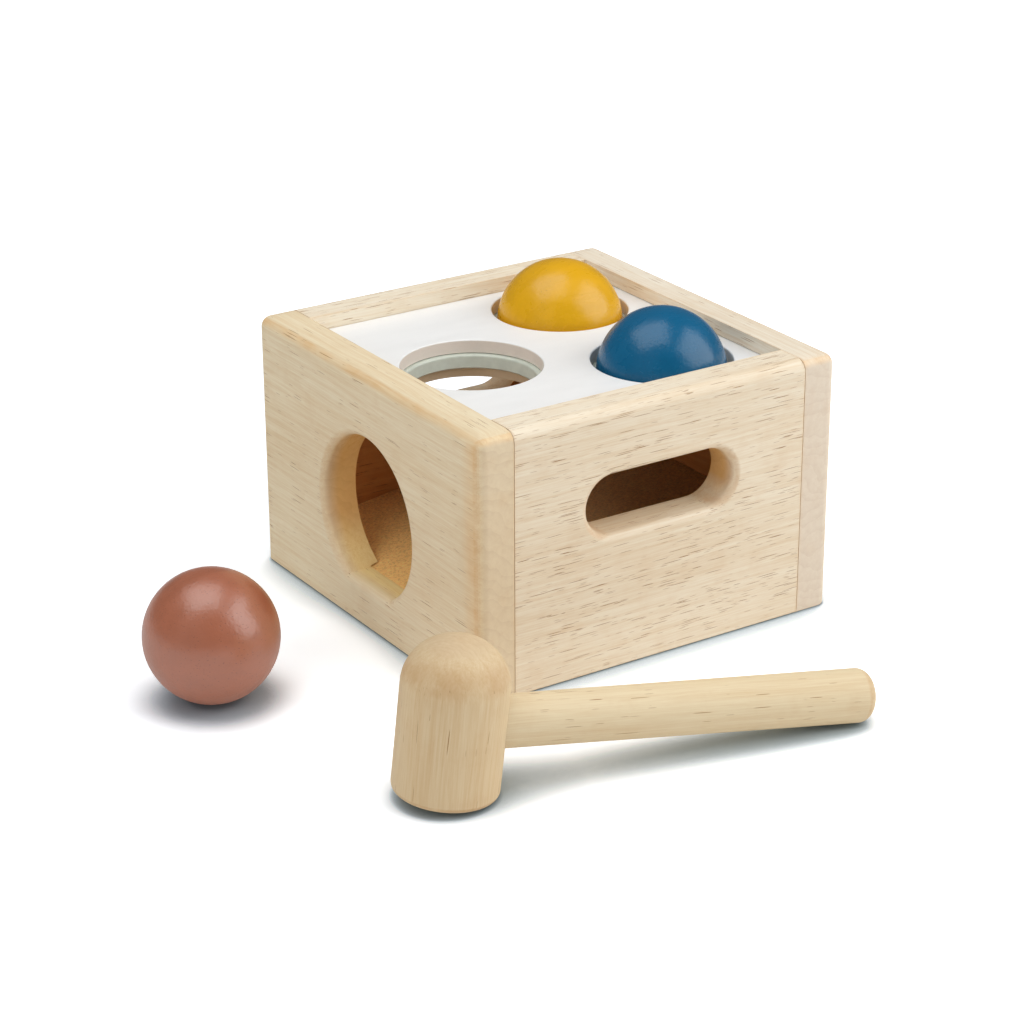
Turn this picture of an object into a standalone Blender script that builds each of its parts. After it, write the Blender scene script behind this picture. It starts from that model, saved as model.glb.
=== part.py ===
"""Pounding bench: a square wooden box with a three-hole board, three balls and a hammer.

Sizes are in metres. The box is built about the middle of its own footprint, with x along the
front (the face with the hand slot), y towards the back and z up from the floor. One empty
carries every piece and shifts the whole set, so that the origin lies on the floor under the
middle of the set.
"""
import math

import bmesh
import bpy
from mathutils import Vector

MM = 0.001

# Box walls
BOX_WIDTH = 160.0 * MM
BOX_DEPTH = 160.0 * MM
BOX_HEIGHT = 103.5 * MM
WALL = 15.0 * MM
EDGE_ROUND = 4.5 * MM
FOOT_ROUND = 1.2 * MM
LIP_ROUND = 3.0 * MM

# Clearances
JOINT_GAP = 0.3 * MM
DOWEL_GAP = 0.3 * MM
BALL_GAP = 0.3 * MM

# Hand slot in the front wall and in the back wall
SLOT_LENGTH = 66.0 * MM
SLOT_HEIGHT = 23.4 * MM
SLOT_CENTRE_Z = 65.6 * MM

# Exit hole in the left wall, a circle with a flat sill
EXIT_RADIUS = 32.0 * MM
EXIT_CENTRE_Z = 45.6 * MM
SILL_Z = 17.3 * MM

# Housings, the shallow grooves that hold the ramp and the board in the side walls
HOUSING_DEPTH = 4.0 * MM

# Ramp
RAMP_THICKNESS = 5.0 * MM
RAMP_SLOPE = math.radians(8.2)
RAMP_DROP = 0.3 * MM

# Board with three holes
BOARD_INSET = 6.0 * MM
BOARD_THICKNESS = 15.0 * MM
HOLE_RADIUS = 27.2 * MM
HOLE_SIDE_MARGIN = 6.0 * MM
HOLE_END_MARGIN = 3.3 * MM
HOLE_EDGE_ROUND = 0.5 * MM

# Rubber rings, one in a groove in each hole
RING_TOP_DEPTH = 5.5 * MM
RING_HEIGHT = 5.4 * MM
RING_GROOVE_DEPTH = 2.0 * MM
RING_LIP_RADIUS = 24.75 * MM
RING_LIP_HEIGHT = 0.6 * MM
RING_TOP_WIDTH = 3.0 * MM
RING_TAPER = 0.5 * MM
RING_EDGE = 0.7 * MM

# Balls
BALL_RADIUS = 25.0 * MM
RED_BALL_X = -156.1 * MM
RED_BALL_Y = -19.5 * MM

# Dowels that pin the corners
DOWEL_RADIUS = 4.0 * MM
DOWEL_IN_SIDE = 10.0 * MM
DOWEL_IN_END = 20.0 * MM
DOWEL_CHAMFER = 0.8 * MM
DOWEL_LOW_Z = 20.0 * MM
DOWEL_SPACING = 31.0 * MM
DOWELS_PER_CORNER = 3

# Hammer
HEAD_RADIUS = 18.8 * MM
HEAD_HEIGHT = 57.1 * MM
HEAD_DOME_HEIGHT = 17.8 * MM
HEAD_FACE_ROUND = 2.5 * MM
HANDLE_AXIS_Z = 24.6 * MM
HANDLE_REACH = 158.2 * MM
HANDLE_ROOT_RADIUS = 9.3 * MM
HANDLE_END_RADIUS = 9.8 * MM
HANDLE_END_ROUND = 5.0 * MM
SOCKET_DEPTH = 25.0 * MM
SOCKET_GAP = 0.3 * MM
HAMMER_X = -124.8 * MM
HAMMER_Y = -127.8 * MM
HAMMER_TURN = math.radians(-12.7)

# Smoothness of round shapes
HOLE_SEGMENTS = 40
BALL_SEGMENTS = 32
BALL_RINGS = 18
EXIT_SEGMENTS = 40
SLOT_SEGMENTS = 12
LIP_SEGMENTS = 4
EDGE_SEGMENTS = 4
HEAD_SEGMENTS = 40
DOME_SEGMENTS = 10
HANDLE_SEGMENTS = 28
DOWEL_SEGMENTS = 12
SMOOTH_ANGLE = math.radians(32.0)

# Values that follow from the sizes above
HALF_WIDTH = BOX_WIDTH / 2
HALF_DEPTH = BOX_DEPTH / 2
INNER_HALF_WIDTH = HALF_WIDTH - WALL
INNER_HALF_DEPTH = HALF_DEPTH - WALL
OVERCUT = WALL / 3
BOARD_TOP_Z = BOX_HEIGHT - BOARD_INSET
BOARD_BOTTOM_Z = BOARD_TOP_Z - BOARD_THICKNESS
RING_TOP_Z = BOARD_TOP_Z - RING_TOP_DEPTH
RING_BOTTOM_Z = RING_TOP_Z - RING_HEIGHT
RAMP_LOW_X = -(INNER_HALF_WIDTH + HOUSING_DEPTH - JOINT_GAP)
RAMP_HIGH_X = -RAMP_LOW_X
HOLE_ROW_X = INNER_HALF_WIDTH - HOLE_SIDE_MARGIN - HOLE_RADIUS
HOLE_PAIR_Y = INNER_HALF_DEPTH - HOLE_END_MARGIN - HOLE_RADIUS
HOLES = {
    "left": (-HOLE_ROW_X, 0.0),
    "front": (HOLE_ROW_X, -HOLE_PAIR_Y),
    "rear": (HOLE_ROW_X, HOLE_PAIR_Y),
}

# Colours and roughness of the finishes
NATURAL_WOOD = ("natural_wood", (0.78, 0.66, 0.47), 0.55)
WHITE_PAINT = ("white_paint", (0.86, 0.86, 0.84), 0.4)
CLEAR_RUBBER = ("clear_rubber", (0.50, 0.54, 0.46), 0.25)
FIBRE_BOARD = ("fibre_board", (0.34, 0.19, 0.08), 0.75)
YELLOW_PAINT = ("yellow_paint", (0.80, 0.42, 0.02), 0.35)
BLUE_PAINT = ("blue_paint", (0.01, 0.12, 0.30), 0.35)
TERRACOTTA_PAINT = ("terracotta_paint", (0.45, 0.15, 0.08), 0.35)
DOWEL_WOOD = ("dowel_wood", (0.66, 0.50, 0.30), 0.6)


def clear_scene():
    """Remove every object, so that the script can be run again."""
    for old in list(bpy.data.objects):
        bpy.data.objects.remove(old, do_unlink=True)


def finish_material(finish):
    """Return the Principled material of a finish, made on first use."""
    name, colour, roughness = finish
    made = bpy.data.materials.get(name)
    if made is None:
        made = bpy.data.materials.new(name)
        made.use_nodes = True
        shader = made.node_tree.nodes["Principled BSDF"]
        shader.inputs["Base Color"].default_value = (*colour, 1.0)
        shader.inputs["Roughness"].default_value = roughness
        shader.inputs["Metallic"].default_value = 0.0
    return made


def add_object(name, bm, parent, finish=None):
    """Turn a bmesh into an object under parent; one with no finish is a cutter."""
    bmesh.ops.recalc_face_normals(bm, faces=bm.faces[:])
    mesh = bpy.data.meshes.new(name)
    bm.to_mesh(mesh)
    bm.free()
    made = bpy.data.objects.new(name, mesh)
    bpy.context.scene.collection.objects.link(made)
    made.parent = parent
    if finish is None:
        made.hide_render = True
        made.display_type = "WIRE"
    else:
        mesh.materials.append(finish_material(finish))
        mesh.shade_smooth()
        mesh.set_sharp_from_angle(angle=SMOOTH_ANGLE)
    return made


def cut(piece, cutter):
    """Take the cutter's shape out of the piece."""
    boolean = piece.modifiers.new("cut by " + cutter.name, "BOOLEAN")
    boolean.operation = "DIFFERENCE"
    boolean.solver = "EXACT"
    boolean.object = cutter


def add_block(bm, low, high):
    """Add a plain block between two corners."""
    corners = [
        bm.verts.new((x, y, z))
        for z in (low[2], high[2])
        for x, y in ((low[0], low[1]), (high[0], low[1]), (high[0], high[1]), (low[0], high[1]))
    ]
    bm.faces.new(corners[3::-1])
    bm.faces.new(corners[4:])
    for i in range(4):
        j = (i + 1) % 4
        bm.faces.new((corners[i], corners[j], corners[4 + j], corners[4 + i]))


def add_loft(bm, rings):
    """Join rings with as many points each into one closed body with flat ends."""
    rows = [[bm.verts.new(point) for point in ring] for ring in rings]
    for lower, upper in zip(rows, rows[1:]):
        for i in range(len(lower)):
            j = (i + 1) % len(lower)
            bm.faces.new((lower[i], lower[j], upper[j], upper[i]))
    bm.faces.new(rows[0][::-1])
    bm.faces.new(rows[-1])


def add_turned(bm, profile, segments, place):
    """Turn a profile of (radius, height) points; one that ends off the axis is closed on itself."""
    rows = []
    for radius, height in profile:
        if radius == 0.0:
            rows.append([bm.verts.new(place(0.0, 0.0, height))])
            continue
        row = []
        for i in range(segments):
            angle = 2 * math.pi * i / segments
            row.append(bm.verts.new(place(radius * math.cos(angle), radius * math.sin(angle), height)))
        rows.append(row)
    pairs = list(zip(rows, rows[1:]))
    if len(rows[0]) > 1:
        pairs.append((rows[-1], rows[0]))
    for lower, upper in pairs:
        for i in range(segments):
            j = (i + 1) % segments
            ring = [lower[i % len(lower)], lower[j % len(lower)], upper[j % len(upper)], upper[i % len(upper)]]
            bm.faces.new(list(dict.fromkeys(ring)))


def upright(x, y):
    """Place a turned shape with its axis standing at x, y."""
    return lambda u, v, w: (x + u, y + v, w)


def lying_along_x(y, z):
    """Place a turned shape with its axis along x."""
    return lambda u, v, w: (w, y + u, z + v)


def quarter_arc(centre, radius, start, steps):
    """Points of a quarter circle that starts at the angle start and turns left."""
    points = []
    for i in range(steps + 1):
        angle = start + math.pi / 2 * i / steps
        points.append((centre[0] + radius * math.cos(angle), centre[1] + radius * math.sin(angle)))
    return points


def round_edges(bm, chosen, radius):
    """Round the edges that the test picks."""
    edges = [edge for edge in bm.edges if chosen(edge)]
    bmesh.ops.bevel(
        bm, geom=edges, offset=radius, segments=EDGE_SEGMENTS, profile=0.5, affect="EDGES", clamp_overlap=True
    )


def lies_on(edge, axis, value):
    """True for an edge with both ends in the plane where the axis has the value."""
    return all(abs(vert.co[axis] - value) < JOINT_GAP / 10 for vert in edge.verts)


def lip_steps():
    """Depth and widening of each ring of a rounded lip, from outside the face to the far side."""
    steps = [(-OVERCUT, LIP_ROUND)]
    for i in range(LIP_SEGMENTS + 1):
        angle = math.pi / 2 * i / LIP_SEGMENTS
        steps.append((LIP_ROUND * (1 - math.cos(angle)), LIP_ROUND * (1 - math.sin(angle))))
    steps.append((WALL + OVERCUT, 0.0))
    return steps


def slot_outline(grow):
    """Outline of the hand slot, a straight run with half-round ends, grown outwards."""
    radius = SLOT_HEIGHT / 2 + grow
    straight = (SLOT_LENGTH - SLOT_HEIGHT) / 2
    points = []
    for side in (1, -1):
        for i in range(SLOT_SEGMENTS + 1):
            angle = math.pi * i / SLOT_SEGMENTS - math.pi / 2
            points.append((side * (straight + radius * math.cos(angle)), side * radius * math.sin(angle)))
    return points


def exit_outline(grow):
    """Outline of the exit hole, a circle with a flat sill, grown outwards."""
    radius = EXIT_RADIUS + grow
    sill = EXIT_CENTRE_Z - SILL_Z + grow
    start = -math.asin(sill / radius)
    sweep = math.pi - 2 * start
    return [
        (radius * math.cos(start + sweep * i / EXIT_SEGMENTS), radius * math.sin(start + sweep * i / EXIT_SEGMENTS))
        for i in range(EXIT_SEGMENTS + 1)
    ]


def opening_cutter(name, outline, place, parent):
    """Cutter of an opening with a rounded outer lip."""
    bm = bmesh.new()
    add_loft(bm, [[place(u, v, depth) for u, v in outline(grow)] for depth, grow in lip_steps()])
    return add_object(name, bm, parent)


def block_cutter(name, low, high, parent):
    """Cutter that is a plain block."""
    bm = bmesh.new()
    add_block(bm, low, high)
    return add_object(name, bm, parent)


def ramp_top(x):
    """Height of the ramp's upper face."""
    return SILL_Z - RAMP_DROP + (x - RAMP_LOW_X) * math.tan(RAMP_SLOPE)


def ramp_body(start_x, end_x, half_depth, grow):
    """The ramp's board between two places along x, grown above and below."""
    drop = RAMP_THICKNESS / math.cos(RAMP_SLOPE)
    section = [
        (start_x, ramp_top(start_x) - drop - grow),
        (end_x, ramp_top(end_x) - drop - grow),
        (end_x, ramp_top(end_x) + grow),
        (start_x, ramp_top(start_x) + grow),
    ]
    bm = bmesh.new()
    add_loft(bm, [[(x, y, z) for x, z in section] for y in (-half_depth, half_depth)])
    return bm


def dowel_heights():
    """Heights of the dowels in one corner."""
    return [DOWEL_LOW_Z + DOWEL_SPACING * i for i in range(DOWELS_PER_CORNER)]


def dowel_profile(radius, low, high, chamfer):
    """Profile of a dowel or, with no chamfer, of its hole."""
    return [(0.0, low), (radius - chamfer, low), (radius, low + chamfer),
            (radius, high - chamfer), (radius - chamfer, high), (0.0, high)]


def dowel_span(side):
    """Ends of a dowel along x; side is -1 at the left wall and 1 at the right wall."""
    ends = (side * (INNER_HALF_WIDTH + DOWEL_IN_SIDE), side * (INNER_HALF_WIDTH - DOWEL_IN_END))
    return min(ends), max(ends)


def dowel_row(end):
    """Middle of the front wall (end is -1) or of the back wall (end is 1), along y."""
    return end * (HALF_DEPTH - WALL / 2)


def dowel_hole_cutter(name, sides, ends, parent):
    """Cutter of the dowel holes at the named sides and ends."""
    bm = bmesh.new()
    for side in sides:
        low, high = dowel_span(side)
        bored = [
            (0.0, low - DOWEL_GAP),
            (DOWEL_RADIUS + DOWEL_GAP, low - DOWEL_GAP),
            (DOWEL_RADIUS + DOWEL_GAP, high + DOWEL_GAP),
            (0.0, high + DOWEL_GAP),
        ]
        for end in ends:
            for z in dowel_heights():
                add_turned(bm, bored, DOWEL_SEGMENTS, lying_along_x(dowel_row(end), z))
    return add_object(name, bm, parent)


def side_wall(name, side, parent):
    """Left or right wall: runs the full depth, its outer edges rounded and its foot only eased."""
    outer = side * HALF_WIDTH
    inner = side * INNER_HALF_WIDTH
    bm = bmesh.new()
    add_block(bm, (min(outer, inner), -HALF_DEPTH, 0.0), (max(outer, inner), HALF_DEPTH, BOX_HEIGHT))
    round_edges(bm, lambda edge: not lies_on(edge, 0, inner) and not lies_on(edge, 2, 0.0), EDGE_ROUND)
    round_edges(bm, lambda edge: not lies_on(edge, 0, inner) and lies_on(edge, 2, 0.0), FOOT_ROUND)
    wall = add_object(name, bm, parent, NATURAL_WOOD)
    cut(wall, dowel_hole_cutter(name + "_dowel_holes", (side,), (-1, 1), parent))

    deep = side * (INNER_HALF_WIDTH + HOUSING_DEPTH)
    open_side = side * (INNER_HALF_WIDTH - OVERCUT)
    low_x, high_x = min(deep, open_side), max(deep, open_side)
    cut(wall, block_cutter(
        name + "_board_housing",
        (low_x, -INNER_HALF_DEPTH, BOARD_BOTTOM_Z - JOINT_GAP),
        (high_x, INNER_HALF_DEPTH, BOARD_TOP_Z + JOINT_GAP),
        parent,
    ))
    housing = ramp_body(low_x, high_x, INNER_HALF_DEPTH, JOINT_GAP)
    cut(wall, add_object(name + "_ramp_housing", housing, parent))
    return wall


def end_wall(name, end, parent):
    """Front or back wall: fits between the side walls, with a hand slot."""
    outer = end * HALF_DEPTH
    inner = end * INNER_HALF_DEPTH
    half_length = INNER_HALF_WIDTH - JOINT_GAP
    bm = bmesh.new()
    add_block(bm, (-half_length, min(outer, inner), 0.0), (half_length, max(outer, inner), BOX_HEIGHT))
    round_edges(bm, lambda edge: lies_on(edge, 1, outer) and lies_on(edge, 2, BOX_HEIGHT), EDGE_ROUND)
    round_edges(bm, lambda edge: lies_on(edge, 1, outer) and lies_on(edge, 2, 0.0), FOOT_ROUND)
    wall = add_object(name, bm, parent, NATURAL_WOOD)
    cut(wall, dowel_hole_cutter(name + "_dowel_holes", (-1, 1), (end,), parent))

    def place(u, v, depth):
        return (-end * u, end * (HALF_DEPTH - depth), SLOT_CENTRE_Z + v)

    cut(wall, opening_cutter(name + "_slot", slot_outline, place, parent))
    return wall


def build_box(parent):
    """The four walls and the dowels that pin their corners."""
    left = side_wall("left_wall", -1, parent)

    def place(u, v, depth):
        return (depth - HALF_WIDTH, -u, EXIT_CENTRE_Z + v)

    cut(left, opening_cutter("left_wall_exit", exit_outline, place, parent))
    side_wall("right_wall", 1, parent)
    end_wall("front_wall", -1, parent)
    end_wall("back_wall", 1, parent)

    levels = ("low", "middle", "high")
    for side, side_name in ((-1, "left"), (1, "right")):
        low, high = dowel_span(side)
        profile = dowel_profile(DOWEL_RADIUS, low, high, DOWEL_CHAMFER)
        for end, end_name in ((-1, "front"), (1, "back")):
            for level, z in zip(levels, dowel_heights()):
                bm = bmesh.new()
                add_turned(bm, profile, DOWEL_SEGMENTS, lying_along_x(dowel_row(end), z))
                add_object(f"dowel_{end_name}_{side_name}_{level}", bm, parent, DOWEL_WOOD)


def build_ramp(parent):
    """The sloping board that rolls a ball to the exit hole."""
    bm = ramp_body(RAMP_LOW_X, RAMP_HIGH_X, INNER_HALF_DEPTH - JOINT_GAP, 0.0)
    add_object("ramp", bm, parent, FIBRE_BOARD)


def hole_profile():
    """Profile of a hole's cutter: eased top edge, bore, ring groove, bore."""
    clear_z = BOARD_TOP_Z + OVERCUT
    groove_radius = HOLE_RADIUS + RING_GROOVE_DEPTH
    eased = quarter_arc(
        (HOLE_RADIUS + HOLE_EDGE_ROUND, BOARD_TOP_Z - HOLE_EDGE_ROUND), HOLE_EDGE_ROUND, math.pi / 2, LIP_SEGMENTS
    )
    return [
        (0.0, clear_z),
        (HOLE_RADIUS + HOLE_EDGE_ROUND, clear_z),
        *eased,
        (HOLE_RADIUS, RING_TOP_Z + JOINT_GAP),
        (groove_radius, RING_TOP_Z + JOINT_GAP),
        (groove_radius, RING_BOTTOM_Z - JOINT_GAP),
        (HOLE_RADIUS, RING_BOTTOM_Z - JOINT_GAP),
        (HOLE_RADIUS, BOARD_BOTTOM_Z - OVERCUT),
        (0.0, BOARD_BOTTOM_Z - OVERCUT),
    ]


def ring_profile():
    """Section of a rubber ring: flat in its groove, a soft top edge and a lip low down inside."""
    outer = HOLE_RADIUS + RING_GROOVE_DEPTH - JOINT_GAP
    lip_z = RING_BOTTOM_Z + RING_LIP_HEIGHT
    shoulder = RING_LIP_RADIUS + RING_TAPER
    return [
        (outer, RING_BOTTOM_Z),
        (outer, RING_TOP_Z),
        (RING_LIP_RADIUS + RING_TOP_WIDTH - RING_EDGE, RING_TOP_Z),
        (shoulder + RING_EDGE, RING_TOP_Z - RING_EDGE / 4),
        (shoulder, RING_TOP_Z - RING_EDGE),
        (RING_LIP_RADIUS, lip_z),
        (RING_LIP_RADIUS + RING_EDGE / 2, RING_BOTTOM_Z),
    ]


def build_board(parent):
    """The board with its three holes, and the ring in each hole."""
    half_width = INNER_HALF_WIDTH + HOUSING_DEPTH - JOINT_GAP
    half_depth = INNER_HALF_DEPTH - JOINT_GAP
    bm = bmesh.new()
    add_block(bm, (-half_width, -half_depth, BOARD_BOTTOM_Z), (half_width, half_depth, BOARD_TOP_Z))
    board = add_object("hole_board", bm, parent, WHITE_PAINT)
    for name, (x, y) in HOLES.items():
        bore = bmesh.new()
        add_turned(bore, hole_profile(), HOLE_SEGMENTS, upright(x, y))
        cut(board, add_object(name + "_hole", bore, parent))
        ring = bmesh.new()
        add_turned(ring, ring_profile(), HOLE_SEGMENTS, upright(x, y))
        add_object(name + "_ring", ring, parent, CLEAR_RUBBER)


def seated_ball_z():
    """Height of a ball's centre when it sits on the lip of its ring."""
    lip_z = RING_BOTTOM_Z + RING_LIP_HEIGHT
    reach = BALL_RADIUS + BALL_GAP
    return lip_z + math.sqrt(reach ** 2 - RING_LIP_RADIUS ** 2)


def build_balls(parent):
    """Two balls in the right holes and one on the floor."""
    places = {
        "yellow_ball": (*HOLES["rear"], seated_ball_z(), YELLOW_PAINT),
        "blue_ball": (*HOLES["front"], seated_ball_z(), BLUE_PAINT),
        "red_ball": (RED_BALL_X, RED_BALL_Y, BALL_RADIUS, TERRACOTTA_PAINT),
    }
    for name, (x, y, z, finish) in places.items():
        bm = bmesh.new()
        bmesh.ops.create_uvsphere(bm, u_segments=BALL_SEGMENTS, v_segments=BALL_RINGS, radius=BALL_RADIUS)
        ball = add_object(name, bm, parent, finish)
        ball.location = (x, y, z)


def hammer_tilt():
    """Lean of the hammer: its face's edge and its handle's end both rest on the floor."""
    face_x = HEAD_RADIUS - HEAD_FACE_ROUND
    end_x = HANDLE_REACH - HANDLE_END_ROUND
    rise = HANDLE_AXIS_Z - HANDLE_END_RADIUS + HANDLE_END_ROUND - HEAD_FACE_ROUND
    run = end_x - face_x
    return math.atan2(rise, run) + math.asin((HEAD_FACE_ROUND - HANDLE_END_ROUND) / math.hypot(rise, run))


def hammer_lift():
    """Height of the middle of the striking face when the hammer leans."""
    tilt = hammer_tilt()
    return HEAD_FACE_ROUND * (1 - math.cos(tilt)) + (HEAD_RADIUS - HEAD_FACE_ROUND) * math.sin(tilt)


def head_profile():
    """Profile of the hammer's head: flat face, eased edge, straight side and dome."""
    shoulder_z = HEAD_HEIGHT - HEAD_DOME_HEIGHT
    face = quarter_arc((HEAD_RADIUS - HEAD_FACE_ROUND, HEAD_FACE_ROUND), HEAD_FACE_ROUND, -math.pi / 2, LIP_SEGMENTS)
    dome = []
    for i in range(DOME_SEGMENTS):
        angle = math.pi / 2 * i / DOME_SEGMENTS
        dome.append((HEAD_RADIUS * math.cos(angle), shoulder_z + HEAD_DOME_HEIGHT * math.sin(angle)))
    return [(0.0, 0.0), *face, *dome, (0.0, HEAD_HEIGHT)]


def handle_profile():
    """Profile of the handle, from the bottom of its socket to its rounded end."""
    root = HEAD_RADIUS - SOCKET_DEPTH + SOCKET_GAP
    end = quarter_arc(
        (HANDLE_END_RADIUS - HANDLE_END_ROUND, HANDLE_REACH - HANDLE_END_ROUND), HANDLE_END_ROUND, 0.0, LIP_SEGMENTS
    )
    return [(0.0, root), (HANDLE_ROOT_RADIUS, root), (HANDLE_ROOT_RADIUS, HEAD_RADIUS), *end, (0.0, HANDLE_REACH)]


def build_hammer(parent):
    """The hammer's head and the handle glued into its blind socket."""
    seat = bpy.data.objects.new("hammer_seat", None)
    bpy.context.scene.collection.objects.link(seat)
    seat.parent = parent
    seat.location = (HAMMER_X, HAMMER_Y, hammer_lift())
    seat.rotation_euler = (0.0, hammer_tilt(), HAMMER_TURN)

    bm = bmesh.new()
    add_turned(bm, head_profile(), HEAD_SEGMENTS, upright(0.0, 0.0))
    head = add_object("hammer_head", bm, seat, NATURAL_WOOD)

    socket_radius = HANDLE_ROOT_RADIUS + SOCKET_GAP
    socket = [
        (0.0, HEAD_RADIUS - SOCKET_DEPTH),
        (socket_radius, HEAD_RADIUS - SOCKET_DEPTH),
        (socket_radius, HEAD_RADIUS + OVERCUT),
        (0.0, HEAD_RADIUS + OVERCUT),
    ]
    bore = bmesh.new()
    add_turned(bore, socket, HANDLE_SEGMENTS, lying_along_x(0.0, HANDLE_AXIS_Z))
    cut(head, add_object("hammer_head_socket", bore, seat))

    stick = bmesh.new()
    add_turned(stick, handle_profile(), HANDLE_SEGMENTS, lying_along_x(0.0, HANDLE_AXIS_Z))
    add_object("hammer_handle", stick, seat, NATURAL_WOOD)


def set_middle():
    """Middle of the set's footprint: the red ball and the hammer's end stand furthest out."""
    along = Vector((
        math.cos(hammer_tilt()) * math.cos(HAMMER_TURN),
        math.cos(hammer_tilt()) * math.sin(HAMMER_TURN),
    ))
    end_y = HAMMER_Y + math.sin(hammer_tilt()) * math.sin(HAMMER_TURN) * HANDLE_AXIS_Z
    end_y += along.y * (HANDLE_REACH - HANDLE_END_ROUND) - HANDLE_END_ROUND
    end_y -= (HANDLE_END_RADIUS - HANDLE_END_ROUND) * math.sqrt(1 - along.y ** 2)
    start_x = min(RED_BALL_X - BALL_RADIUS, -HALF_WIDTH)
    return (start_x + HALF_WIDTH) / 2, (end_y + HALF_DEPTH) / 2


def main():
    """Build the whole set."""
    clear_scene()
    middle_x, middle_y = set_middle()
    origin = bpy.data.objects.new("set_origin", None)
    bpy.context.scene.collection.objects.link(origin)
    origin.location = (-middle_x, -middle_y, 0.0)
    build_box(origin)
    build_ramp(origin)
    build_board(origin)
    build_balls(origin)
    build_hammer(origin)
    bpy.context.view_layer.update()


main()
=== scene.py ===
"""Looks of a pounding bench: a wooden box with a hole board, three painted balls and a hammer.

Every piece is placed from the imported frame. Lengths are in metres, x runs along the slotted front
wall, y towards the back and z up from the floor.
"""

import math

import bmesh
import bpy
import numpy as np
from bpy.props import FloatProperty, FloatVectorProperty, PointerProperty
from bpy.types import Operator, Panel, PropertyGroup
from mathutils import Matrix, Vector


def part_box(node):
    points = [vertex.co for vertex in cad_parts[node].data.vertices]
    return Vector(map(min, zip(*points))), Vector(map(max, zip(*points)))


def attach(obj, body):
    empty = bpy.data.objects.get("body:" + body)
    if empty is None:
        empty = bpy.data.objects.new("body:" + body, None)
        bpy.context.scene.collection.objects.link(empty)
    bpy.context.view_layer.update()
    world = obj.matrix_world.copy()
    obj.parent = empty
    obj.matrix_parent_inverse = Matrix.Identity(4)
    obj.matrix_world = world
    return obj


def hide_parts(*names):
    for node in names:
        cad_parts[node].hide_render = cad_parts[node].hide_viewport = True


bl_info = {
    "name": "Pounding Bench",
    "version": (1, 0, 0),
    "blender": (4, 5, 0),
    "location": "3D View > Sidebar > Toy",
    "description": "Builds a wooden pounding bench with painted balls and a hammer",
    "category": "Add Mesh",
}

MM = 0.001
PER_MM = (1 / MM, 1 / MM, 1 / MM)
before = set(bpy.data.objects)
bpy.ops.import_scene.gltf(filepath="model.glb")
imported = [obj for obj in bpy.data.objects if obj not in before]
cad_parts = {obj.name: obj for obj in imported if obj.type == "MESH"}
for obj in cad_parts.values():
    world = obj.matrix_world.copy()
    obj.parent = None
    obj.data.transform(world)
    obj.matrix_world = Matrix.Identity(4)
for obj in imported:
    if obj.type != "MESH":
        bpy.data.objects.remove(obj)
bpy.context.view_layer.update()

# Places from the frame
LEFT_LOW, LEFT_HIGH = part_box("left_wall")
RIGHT_LOW, RIGHT_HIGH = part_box("right_wall")
FRONT_LOW, FRONT_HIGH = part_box("front_wall")
BACK_LOW, BACK_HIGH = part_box("back_wall")
BOARD_LOW, BOARD_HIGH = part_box("hole_board")
RAMP_LOW, RAMP_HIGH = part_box("ramp")
WALL = LEFT_HIGH.x - LEFT_LOW.x
BOX_MIDDLE_X = (LEFT_LOW.x + RIGHT_HIGH.x) / 2
BOX_MIDDLE_Y = (LEFT_LOW.y + LEFT_HIGH.y) / 2
BOX_HEIGHT = LEFT_HIGH.z

# Grid densities
ARC_STEPS = 8
FINE_STEPS = 4
RAYS = 180
TURN_STEPS = 144
BALL_STEPS = 72
DOME_STEPS = 24
DOWEL_STEPS = 32
SHARP_ANGLE = math.radians(30)

# Fits that are hidden in the joints
JOINT_GAP = 0.3 * MM
CLEAR = 2.0 * MM
HOUSING_DEPTH = 4.0 * MM
RAMP_PLAY = 0.6 * MM
DOWEL_HOLE_RADIUS = 4.3 * MM
SOCKET_DEPTH = 25.0 * MM
SOCKET_GAP = 0.15 * MM

# Words in the names of the dowels
SIDES = ("left", "right")
ENDS = ("front", "back")
LEVELS = ("low", "middle", "high")

# Pith lines of the walls: distance from the outer face along its normal axis, and height
LEFT_PITH = (-50 * MM, -90 * MM)
RIGHT_PITH = (40 * MM, 190 * MM)
FRONT_PITH = (30 * MM, 210 * MM)
BACK_PITH = (60 * MM, -60 * MM)

# Pores: length and width of a cell in millimetres, and a pore's radius in cells
COARSE_PORES = (24.0, 0.62, 0.22)
FINE_PORES = (10.0, 0.55, 0.2)
OPEN_PORES = (20.0, 1.1, 0.15)
PAINT_PORES = (1.6, 0.8, 0.22)
SIDE_PORE_SHARE = 0.25
END_PORE_SHARE = 1.0

# How clearly handling, and a painted shade of the rounded edges, show on the edges, and the painted shade on
# the raw board below the rings
WALL_EDGE_WEAR_AND_SHADE = 0.4
LOOSE_EDGE_WEAR_AND_SHADE = 0.12
CORE_SHADE_BELOW_RINGS = (0.8, 0.68, 0.5)

# What the ramp's colour is multiplied by at its middle, a painted shade, and at its low end, a painted light
RAMP_MIDDLE_SHADE = (0.68, 0.64, 0.74, 1.0)
RAMP_LIT_END = (1.3, 1.33, 1.32, 1.0)

RING_NAMES = ("left_ring", "front_ring", "rear_ring")

# Balls: gloss, roughness and share of specks, and the height and the change of tone of their paint
BALL_FINISH = {"yellow": (0.55, 0.27, 0.06), "blue": (0.5, 0.26, 0.3), "red": (1.2, 0.32, 0.6)}
BALL_RELIEF = 0.16
BALL_VARIATION = 0.08

# Pith of the hammer's pieces, from the middle of its striking face
HEAD_PITH = Vector((30 * MM, 20 * MM, 0))
HANDLE_PITH = Vector((0, 20 * MM, 60 * MM))

# Lamps: place and size
TOP_LAMP = ((-0.18, 0.175, 1.15), 1.0)
SIDE_LAMP = ((0.86, -0.66, 0.75), 1.3)
FILL_LAMP = ((-1.3, -0.45, 0.75), 1.2)
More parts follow.
